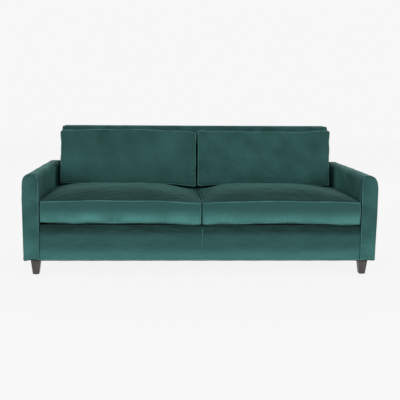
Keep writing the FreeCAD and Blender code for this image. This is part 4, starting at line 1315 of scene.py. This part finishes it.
# %% [markdown]
# ## Front border
# The border under the seat cushions is padded too, with a corded seam in its middle. It lies a little
# behind the arms' fronts. Its lower part faces the pale floor and is painted paler, a painted light from
# the floor, and its top is painted darker, a painted shadow under the seat cushions.

# %% Front border
BORDER_Y = ARM_FRONT + 0.005
BORDER_REAR = BORDER_Y + 0.037
BORDER_SEAM_X = 0.004
BORDER_CORE = 0.018
border_end = INSIDE_ARM - 0.0003
border_corners = [(BORDER_REAR, BODY_FOOT), (BORDER_REAR, DECK),
                  (BORDER_Y, DECK), (BORDER_Y, BODY_FOOT)]
border_outline = rounded_path(border_corners, [0.002, 0.002, 0.012, 0.004], step=0.005)[::-1]
border_spine = np.stack([np.full(len(border_outline), BORDER_Y + BORDER_CORE),
                         np.clip(border_outline[:, 1], BODY_FOOT + BORDER_CORE, DECK - BORDER_CORE)], -1)


def border_creases():
    """Pulls that start at both ends of the border near the hem, deeper on the right."""
    lines = []
    for side, depth in ((-1, 0.0020), (1, 0.0028)):
        for low, high, run in ((0.106, 0.122, 0.07), (0.118, 0.150, 0.05), (0.103, 0.108, 0.11)):
            start, end = (side * border_end, BORDER_Y, low), (side * (border_end - run), BORDER_Y, high)
            lines.append((start, end, depth, 0.009))
    return lines


def make_border():
    """The border's padded bar, puffed between its seams, creased at its ends and painted, with a painted
    light low down and a painted shadow under the seat cushions.
    """
    y, z, x = padded_bar(border_outline, border_spine, -border_end, border_end, 0.002, 0.002, 0.010, 8)
    faces = grid_faces(*x.shape, False, True)
    mesh = make_mesh("front_border_upholstery", np.stack([x, y, z], -1), faces, 4e-5)
    points, normals = points_of(mesh), normals_of(mesh)
    x, y, z = points.T
    front = ease(-y, -BORDER_Y - 0.012, -BORDER_Y - 0.001)
    height = np.clip((z - BODY_FOOT) / (DECK - BODY_FOOT), 0, 1)
    middle = 1 - 0.75 * np.exp(-(np.abs(x - BORDER_SEAM_X) / 0.028) ** 1.3)
    ends = 1 - np.exp(-((border_end - np.abs(x)) / 0.03))
    puff = 0.0050 * np.sin(math.pi * height) ** 0.8 * middle * ends
    soft = 0.0007 * waves(points, 111, 18, 0.05, 0.3)
    points[:, 1] -= front * np.clip(puff + soft, 0, 0.008)
    points = crease(points, normals, border_creases())
    # painted light from the pale floor on the lower part; painted shadow of the seat cushions along the top
    nap_and_painted_light = 0.31 + 0.42 * ease(-z, -0.185, -0.105) - 0.28 * ease(z, 0.225, 0.275)
    nap_and_painted_light += 0.020 * waves(points * (1, 1, 3), 113, 14, 0.06, 0.5)
    nap_and_painted_light += 0.014 * waves(points * (0.25, 1, 2.4), 115, 14, 0.02, 0.08)
    paint(mesh, "nap_and_painted_light", nap_and_painted_light)
    points[:, 2] = hem_follow(points[:, 0], points[:, 1], points[:, 2])
    move_points(mesh, points)
    piece = make_object("front_border_upholstery", mesh, velvet)
    finish_piece(piece, "velvet", "frame", "front_border_cover", "front_border_padding")


make_border()

# %% [markdown]
# ## Piping of the body
# A cord runs round the bottom edge, with the cover turned under below it. Cords also mark the seam in
# the middle of the border and the front seams of the arms. The arm's inner cord is carried on the arm's
# own surface: up the inner edge and round onto the top, where it sinks into the seam.

# %% Lines of the body's cords
HEM_CORD_Z = HEM + 0.0078


def hem_loop(height, inset):
    """A line round the foot of the body, inset from its outside, that follows the hem."""
    x, y0, y1 = HALF_WIDTH, ARM_FRONT, REAR
    flat = rounded_path([(-x, y0), (x, y0), (x, y1), (-x, y1)], [0.013] * 4, step=0.006)
    x, y = (flat - inset * outward_of(flat)).T
    return np.stack([x, y, height + hem_drop(x, y) + 0.0004 * np.sin(40 * x + 3 * y)], -1)


def arm_front_line(side, u_inset, out, top):
    """A cord up the arm's front edge: inner edge if top is set, else the outer edge."""
    count = 70
    if top:
        v = np.linspace(BODY_FOOT + 0.003, ARM_TOP - ARM_INNER - OVER_FRONT, count)
        turn = np.linspace(0, 1, 26)[1:]
        angle = turn * math.radians(62)
        u_top = ARM_INNER - (ARM_INNER - u_inset) * np.cos(angle)
        v_top = v[-1] + OVER_FRONT * turn + (ARM_INNER - 0.002) * np.sin(angle)
        y_top = ARM_FRONT + 0.001 - out + OVER_FRONT * turn ** 2
        u = np.concatenate([np.full(count, u_inset), u_top])
        v = np.concatenate([v, v_top])
        y = np.concatenate([np.full(count, ARM_FRONT + 0.001 - out), y_top])
    else:
        v = np.linspace(BODY_FOOT + 0.003, ARM_TOP - ARM_OUTER - 0.02, count)
        u = np.full(count, ARM_WIDTH - u_inset)
        y = np.full(count, ARM_FRONT + 0.0042 - out)
    x = side * (INSIDE_ARM + u + arm_flare(u, y, v))
    return np.stack([x, y, hem_follow(x, y, v)], -1)


print(f"the hem's cord is {np.linalg.norm(np.diff(hem_loop(0, 0), axis=0), axis=1).sum():.2f} m long")

# %% [markdown]
# The cords of the body are joined in one piece, as the solids have them. The hem's cord faces the pale
# floor and is painted paler, a painted light from the floor. Below it the cover is turned under, painted
# in the deepest green, a painted shade under the cord.

# %% Body piping
def make_body_piping():
    """The hem's loop, two cords on each arm's front and the border's middle seam, as one piece."""
    cords = [sweep("hem_cord", hem_loop(HEM_CORD_Z, 0.0026), CORD, velvet_piping, closed=True)]
    for side in (-1.0, 1.0):
        inner, outer = arm_front_line(side, 0.0026, 0.0010, True), arm_front_line(side, 0.0036, 0.0, False)
        cords.append(sweep("arm_inner_cord", inner, 0.0024, velvet_piping, up=(1, 0, 0)))
        cords.append(sweep("arm_outer_cord", outer, 0.0014, velvet_piping, up=(1, 0, 0)))
    z = np.linspace(BODY_FOOT + 0.001, DECK - 0.014, 40)
    bow = 0.0013 * np.sin(math.pi * (z - BODY_FOOT) / (DECK - BODY_FOOT))
    seam = np.stack([BORDER_SEAM_X + 0.0006 * np.sin(30 * z), BORDER_Y - 0.0006 - bow, z], -1)
    cords.append(sweep("border_cord", seam, 0.0018, velvet_piping, up=(1, 0, 0)))
    piping = join_pieces("body_piping_cords", cords)
    points = points_of(piping.data)
    # painted light from the pale floor: the hem's cord is painted paler
    at_hem = points[:, 2] < HEM + 0.014
    paint(piping.data, "nap_and_painted_light", 0.36 + 0.50 * at_hem + 0.12 * waves(points, 7, 9, 0.02, 0.2))
    finish_piece(piping, "velvet_piping", "frame", "body_piping")


def make_turned_hem():
    """The cover turned under: a flat strip below the cord, closed by its inner face."""
    heights = (HEM_CORD_Z, HEM + 0.0004, HEM + 0.0004, HEM_CORD_Z)
    insets = (0.0030, 0.0036, 0.0080, 0.0080)
    rows = np.stack([hem_loop(z, inset) for z, inset in zip(heights, insets)])
    mesh = make_mesh("turned_hem", rows, grid_faces(4, rows.shape[1], True, True), 1e-6)
    # painted shade: the turned-under strip below the cord gets the deepest green
    paint(mesh, "nap_and_painted_light", 0.0 * points_of(mesh)[:, 0])
    piece = make_object("turned_hem", mesh, velvet)
    finish_piece(piece, "velvet", "frame")


make_body_piping()
make_turned_hem()

# %% [markdown]
# ## Cloths of the seat and the underside
# A felt pad lies on the springs, and a plain deck cloth is stretched over it and stapled to the rails. It
# could be simulated, but a stretched cloth has no folds to find, so it is a sum of shapes: a shallow
# dip between the rails, and a low ridge over each spring.

# %% Pad and deck cloth
SPRING_PITCH, RAIL_HALF = 0.18756, 0.93
SPREAD_X, DECK_Y, PAD_Y = (np.linspace(low, high, count) for low, high, count in (
    (-0.9375, 0.9375, 181), (-0.3875, 0.3093, 61), (-0.4125, 0.3086, 61)))


def sheet_mesh(name, x_lines, y_lines, height, holes=()):
    """One layer of cloth over a grid of lines. Faces inside a hole's box are left out."""
    x, y = np.meshgrid(x_lines, y_lines, indexing="ij")
    points = np.stack([x, y, height(x, y)], -1)
    faces = grid_faces(len(x_lines), len(y_lines))
    middle = points.reshape(-1, 3)[faces].mean(1)
    kept = np.ones(len(faces), bool)
    for x0, x1, y0, y1 in holes:
        kept &= ~((middle[:, 0] > x0) & (middle[:, 0] < x1) & (middle[:, 1] > y0) & (middle[:, 1] < y1))
    mesh = make_mesh(name, points, faces[kept])
    if mesh.polygons[0].normal.z < 0:
        mesh.flip_normals()
    return mesh


def give_wall(piece, wall):
    """Cloth thickness, added below the surface."""
    solid = piece.modifiers.new("wall", "SOLIDIFY")
    solid.thickness, solid.offset = wall, -1.0


def seat_dip(x, y):
    """A parabola's dip between the rails, with a low rounded ridge over every spring."""
    across = np.clip(1 - (np.abs(x) / RAIL_HALF) ** 4, 0, 1)
    along = np.clip(1 - ((y + 0.04) / 0.345) ** 2, 0, 1)
    ridges = np.cos(2 * math.pi * (np.abs(x) / SPRING_PITCH - 0.5))
    return across * along * (-0.0034 + 0.0009 * ridges)


deck = make_object("deck_cloth_stretched", sheet_mesh(
    "deck_cloth_stretched", SPREAD_X, DECK_Y, lambda x, y: DECK - 0.0002 + seat_dip(x, y)), deck_fabric)
give_wall(deck, 0.0012)
pad = make_object("seat_pad_felt", sheet_mesh(
    "seat_pad_felt", SPREAD_X, PAD_Y,
    lambda x, y: DECK - 0.0018 + np.where(y < -0.39, -0.0004, 1.0) * seat_dip(x, y)), felt)
give_wall(pad, 0.0030)
finish_piece(deck, "deck_fabric", "frame", "deck_cloth")
finish_piece(pad, "felt_pad", "frame", "seat_pad")

# %% [markdown]
# A thin black cloth closes the underside. It hangs a little between the rails, and is cut out round the
# legs' plates, so lines of its grid have to pass along the edges of the cut-outs.

# %% Dust cloth
LEG_X, LEG_Y, PLATE = 0.965, (-0.372, 0.384), 0.0304
cut_outs = [(x - PLATE, x + PLATE, y - PLATE, y + PLATE) for x in (-LEG_X, LEG_X) for y in LEG_Y]


def lines_with(edges, low, high, count):
    """Even lines between two ends that also pass through the edges of the cut-outs."""
    return np.unique(np.round(np.concatenate([np.linspace(low, high, count), edges]), 5))


def dust_sag(x, y):
    """The cloth hangs most in the middle of each field between the rails, by up to 5 mm, and small pulls
    lift and drop it along the front."""
    fields = np.abs(np.sin(math.pi * np.clip(np.abs(x) / RAIL_HALF, 0, 1)))
    along = np.clip(1 - ((y + 0.05) / 0.33) ** 2, 0, 1)
    pulls = 0.0005 * np.sin(x * 105) * np.clip(1 - (y + 0.405) / 0.08, 0, 1)
    return 0.0967 - 0.0050 * fields * along - np.abs(pulls)


dust_x = lines_with([s * LEG_X + t * PLATE for s in (-1, 1) for t in (-1, 1)], -1.0155, 1.0155, 201)
dust_y = lines_with([y + t * PLATE for y in LEG_Y for t in (-1, 1)], -0.4155, 0.4275, 81)
dust = make_object("dust_cloth_hung", sheet_mesh("dust_cloth_hung", dust_x, dust_y, dust_sag, cut_outs),
                   dust_fabric)
give_wall(dust, 0.0006)
finish_piece(dust, "dust_fabric", "frame", "dust_cloth")

# %% [markdown]
# ## Zips
# Each cushion cover closes with a zip: in the rear border of a seat cushion and in the lower border of a
# back cushion. The zip's tape follows the cushion's skin, so its line is found by casting rays at the
# finished skin. Two rows of teeth, set half a step apart, stand on the tape.

# %% Zips
def brick(centre, half, across, up, out):
    """Eight corners of a small block along three directions."""
    signs = np.array([(i, j, k) for i in (-1, 1) for j in (-1, 1) for k in (-1, 1)])
    return centre + (signs * half) @ np.stack([across, up, out])


BRICK_FACES = np.array([(0, 1, 3, 2), (4, 6, 7, 5), (0, 4, 5, 1),
                        (2, 3, 7, 6), (0, 2, 6, 4), (1, 5, 7, 3)])
TAPE_ROWS, TOOTH, TOOTH_STEP = (-0.0057, -0.002, 0.002, 0.0057), (0.0008, 0.0021, 0.0007), 0.0025


def skin_line(tree, starts, toward):
    """Where rays from the start points first meet a cushion's skin."""
    hits = [tree.ray_cast(Vector(p), Vector(toward), 0.1)[0] for p in starts]
    return np.array([h if h else Vector(p) for h, p in zip(hits, starts)])


def make_zip(name, kind, x0, x1, y, z, up, out):
    """The tape and teeth of one zip. up runs across the tape and out away from the cushion."""
    body = f"{name}_{kind}_cushion"
    tree = skin_tree(bpy.data.objects[body].data)
    up, out, across = np.array(up), np.array(out), np.array((1.0, 0, 0))
    x = np.linspace(x0, x1, 153)
    rows = []
    for offset in TAPE_ROWS:
        starts = np.stack([x, 0 * x + y, 0 * x + z], -1) + offset * up + 0.04 * out
        rows.append(skin_line(tree, starts, -out))
    rows = np.array(rows) + 0.0003 * out
    ring = np.concatenate([rows, rows[::-1] - 0.0011 * out])
    tape = make_mesh(f"{name}_{kind}_tape", ring, grid_faces(8, len(x), True, False))
    tape_piece = make_object(f"{name}_{kind}_tape", tape, zip_tape)
    line = rows[1:3].mean(0)
    corners, faces = [], []
    for i, place in enumerate(np.arange(x0 + 0.006, x1 - 0.006, TOOTH_STEP)):
        middle = np.array([place, np.interp(place, x, line[:, 1]), np.interp(place, x, line[:, 2])])
        side = 0.0008 * (1 if i % 2 else -1)
        faces.append(BRICK_FACES + 8 * i)
        corners.append(brick(middle + side * up + 0.0006 * out, TOOTH, across, up, out))
    teeth = make_mesh(f"{name}_{kind}_teeth", np.array(corners), np.concatenate(faces), merge=1e-7)
    teeth_piece = make_object(f"{name}_{kind}_teeth", teeth, zip_metal)
    finish_piece(tape_piece, "zip_tape", body, f"{name}_{kind}_zip")
    finish_piece(teeth_piece, "zip_metal", body)


for name, side in SIDES.items():
    ends = sorted((side * 0.0893, side * 0.8487))
    make_zip(name, "seat", *ends, 0.3040, 0.3740, (0, 0, 1), (0, 1, 0))
    ends = sorted((side * 0.0740, side * 0.8334))
    make_zip(name, "back", *ends, 0.2521, 0.4587, (0, -math.cos(lean), math.sin(lean)),
             (0, -math.sin(lean), -math.cos(lean)))

# %% [markdown]
# ## Seat springs
# Zigzag springs are one steel wire each, bent to and fro in even legs and half turns. The solids have
# them too, in far more triangles than a wire needs, so here a round profile runs along the same path.

# %% Seat springs
SPRING_REACH, SPRING_LEGS, WIRE = 0.015, 25, 0.0019
SPRING_FRONT, SPRING_REAR, WIRE_HEIGHT = -0.4005, 0.2975, 0.2835


def spring_path(x):
    """Straight legs across, joined at alternate ends by half circles of half the pitch."""
    pitch = (SPRING_REAR - SPRING_FRONT) / (SPRING_LEGS - 1)
    turn = np.linspace(-math.pi / 2, math.pi / 2, 7)
    points = [(x - SPRING_REACH, SPRING_FRONT)]
    for leg in range(SPRING_LEGS - 1):
        side = 1 if leg % 2 == 0 else -1
        middle = SPRING_FRONT + (leg + 0.5) * pitch
        points += [(x + side * (SPRING_REACH + pitch / 2 * math.cos(t)), middle + pitch / 2 * math.sin(t))
                   for t in turn]
    points.append((x + SPRING_REACH * (1 if SPRING_LEGS % 2 else -1), SPRING_REAR))
    return np.array([(px, py, WIRE_HEIGHT) for px, py in points])


zinc = make_speckled("zinc_steel_finish", (0.42, 0.43, 0.44, 1), (0.60, 0.61, 0.62, 1), 60, 0.34, 1.0)
places = SPRING_PITCH * (np.arange(10) - 4.5)
springs = join_pieces("seat_springs_wire", [sweep(f"spring_{i}", spring_path(x), WIRE, zinc, sides=8)
                                            for i, x in enumerate(places)])
finish_piece(springs, "zinc_steel", "frame", "seat_springs")

# %% [markdown]
# ## Timber, steel and the other hard parts
# The hard parts keep their CAD shapes and only get finishes. Spruce shows its year rings as stretched
# bands, and the fibreboard fine specks. The legs are grey-brown stained beech with a faint grain that
# runs down them. The zinc of the steel is a soft grey with small cloudy patches.

# %% Finishes of the hard parts
hard = {
    "leg_wood": make_wood(
        "leg_wood_finish", (0.070, 0.060, 0.060, 1), (0.125, 0.112, 0.112, 1), "Z", 0.42),
    "frame_timber": make_wood(
        "frame_timber_finish", (0.50, 0.33, 0.17, 1), (0.68, 0.50, 0.29, 1), "X", 0.7),
    "fibreboard": make_speckled(
        "fibreboard_finish", (0.24, 0.15, 0.08, 1), (0.36, 0.24, 0.14, 1), 900, 0.85),
    "zinc_steel": zinc,
    "zip_metal": zip_metal,
    "glide_nylon": make_speckled(
        "glide_nylon_finish", (0.012, 0.012, 0.013, 1), (0.03, 0.03, 0.03, 1), 300, 0.5),
}
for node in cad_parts.values():
    finish = hard.get(node.data.materials[0].name) if node.data.materials else None
    if finish:
        node.data.materials[0] = finish
print("hard finishes:", len(hard))

# %% [markdown]
# ## Floor and light
# A plain pale floor and soft studio light. The floor is white enough to light the undersides, as the
# studio floor did, and looks the pale grey of the picture to the camera. A mix by the kind of ray does
# this: rays from the camera see mostly the grey, and all others see the plain floor with its shadow.

# %% Floor
PICTURE_GREY = 0.93
FLOOR_SHARE, FLOOR_PALE, FLOOR_HALF = 0.875, 1.0, 14.0


def seen_directly(tree):
    """1 for rays that come straight from the camera or off a mirror or through glass, else 0."""
    path = add_node(tree, "ShaderNodeLightPath")
    mirrored = combine(tree, "MAXIMUM", path.outputs["Is Glossy Ray"], path.outputs["Is Transmission Ray"])
    return combine(tree, "MAXIMUM", path.outputs["Is Camera Ray"], mirrored)


def make_floor():
    """The floor: plain to the light, but mostly the picture's pale grey to the camera."""
    mesh = bpy.data.meshes.new("floor")
    corners = [(x * FLOOR_HALF, y * FLOOR_HALF, 0) for x, y in ((-1, -1), (1, -1), (1, 1), (-1, 1))]
    mesh.from_pydata(corners, [], [(0, 1, 2, 3)])
    material, tree, shader = new_material("studio_floor")
    shader.inputs["Base Color"].default_value = (0.80, 0.80, 0.80, 1)
    shader.inputs["Roughness"].default_value = 0.9
    shader.inputs["Specular IOR Level"].default_value = 0.1
    pale = add_node(tree, "ShaderNodeEmission", in_Color=(1, 1, 1, 1), in_Strength=FLOOR_PALE)
    share = combine(tree, "MULTIPLY", seen_directly(tree), FLOOR_SHARE)
    both = add_node(tree, "ShaderNodeMixShader")
    tree.links.new(share, both.inputs[0])
    tree.links.new(shader.outputs[0], both.inputs[1])
    tree.links.new(pale.outputs[0], both.inputs[2])
    tree.links.new(both.outputs[0], tree.nodes["Material Output"].inputs["Surface"])
    floor = make_object("floor", mesh, material)


make_floor()
print("floor share of the picture's grey:", FLOOR_SHARE)

# %% [markdown]
# Three soft boxes and a pale sky light the sofa. A soft box is a large lamp, so its shadows have no
# edges. The sky is dimmer above, as a studio's ceiling is, which keeps the seat's face darker than its
# border.

# %% Lamps and sky
WORLD_SIDE, WORLD_TOP = 0.78, 0.30


def make_lamp(name, place, aim, width, height, power):
    """A soft box: a rectangular lamp that points at a spot."""
    data = bpy.data.lights.new(name, "AREA")
    data.shape, data.size, data.size_y, data.energy = "RECTANGLE", width, height, power
    lamp = bpy.data.objects.new(name, data)
    bpy.context.collection.objects.link(lamp)
    lamp.location = place
    lamp.rotation_euler = (Vector(aim) - Vector(place)).to_track_quat("-Z", "Y").to_euler()


def make_world():
    """Soft light from all round, dimmer from straight above, and the picture's grey to the camera."""
    world = bpy.data.worlds.new("studio")
    bpy.context.scene.world = world
    world.use_nodes = True
    sky = world.node_tree
    sky.nodes.clear()
    direction = add_node(sky, "ShaderNodeTexCoord").outputs["Generated"]
    parts = add_node(sky, "ShaderNodeSeparateXYZ")
    sky.links.new(direction, parts.inputs[0])
    light = add_node(sky, "ShaderNodeBackground", in_Color=(1, 1, 1, 1))
    strength = remap(sky, parts.outputs["Z"], 0.05, 0.75, WORLD_SIDE, WORLD_TOP)
    sky.links.new(strength, light.inputs["Strength"])
    grey = add_node(sky, "ShaderNodeBackground", in_Color=(*[PICTURE_GREY] * 3, 1), in_Strength=1.0)
    mixed = add_node(sky, "ShaderNodeMixShader")
    sky.links.new(seen_directly(sky), mixed.inputs[0])
    sky.links.new(light.outputs[0], mixed.inputs[1])
    sky.links.new(grey.outputs[0], mixed.inputs[2])
    sky.links.new(mixed.outputs[0], add_node(sky, "ShaderNodeOutputWorld").inputs["Surface"])


for name, place, width, power in (("softbox_left", (-3.0, -4.2, 1.7), 2.4, 55),
                                  ("softbox_right", (3.2, -4.0, 1.7), 2.4, 48),
                                  ("softbox_rear", (0.6, 4.8, 2.4), 3.0, 34)):
    make_lamp(name, place, (0, 0, 0.4), width, 1.8, power)
make_world()
bpy.context.scene.view_settings.view_transform = "Standard"
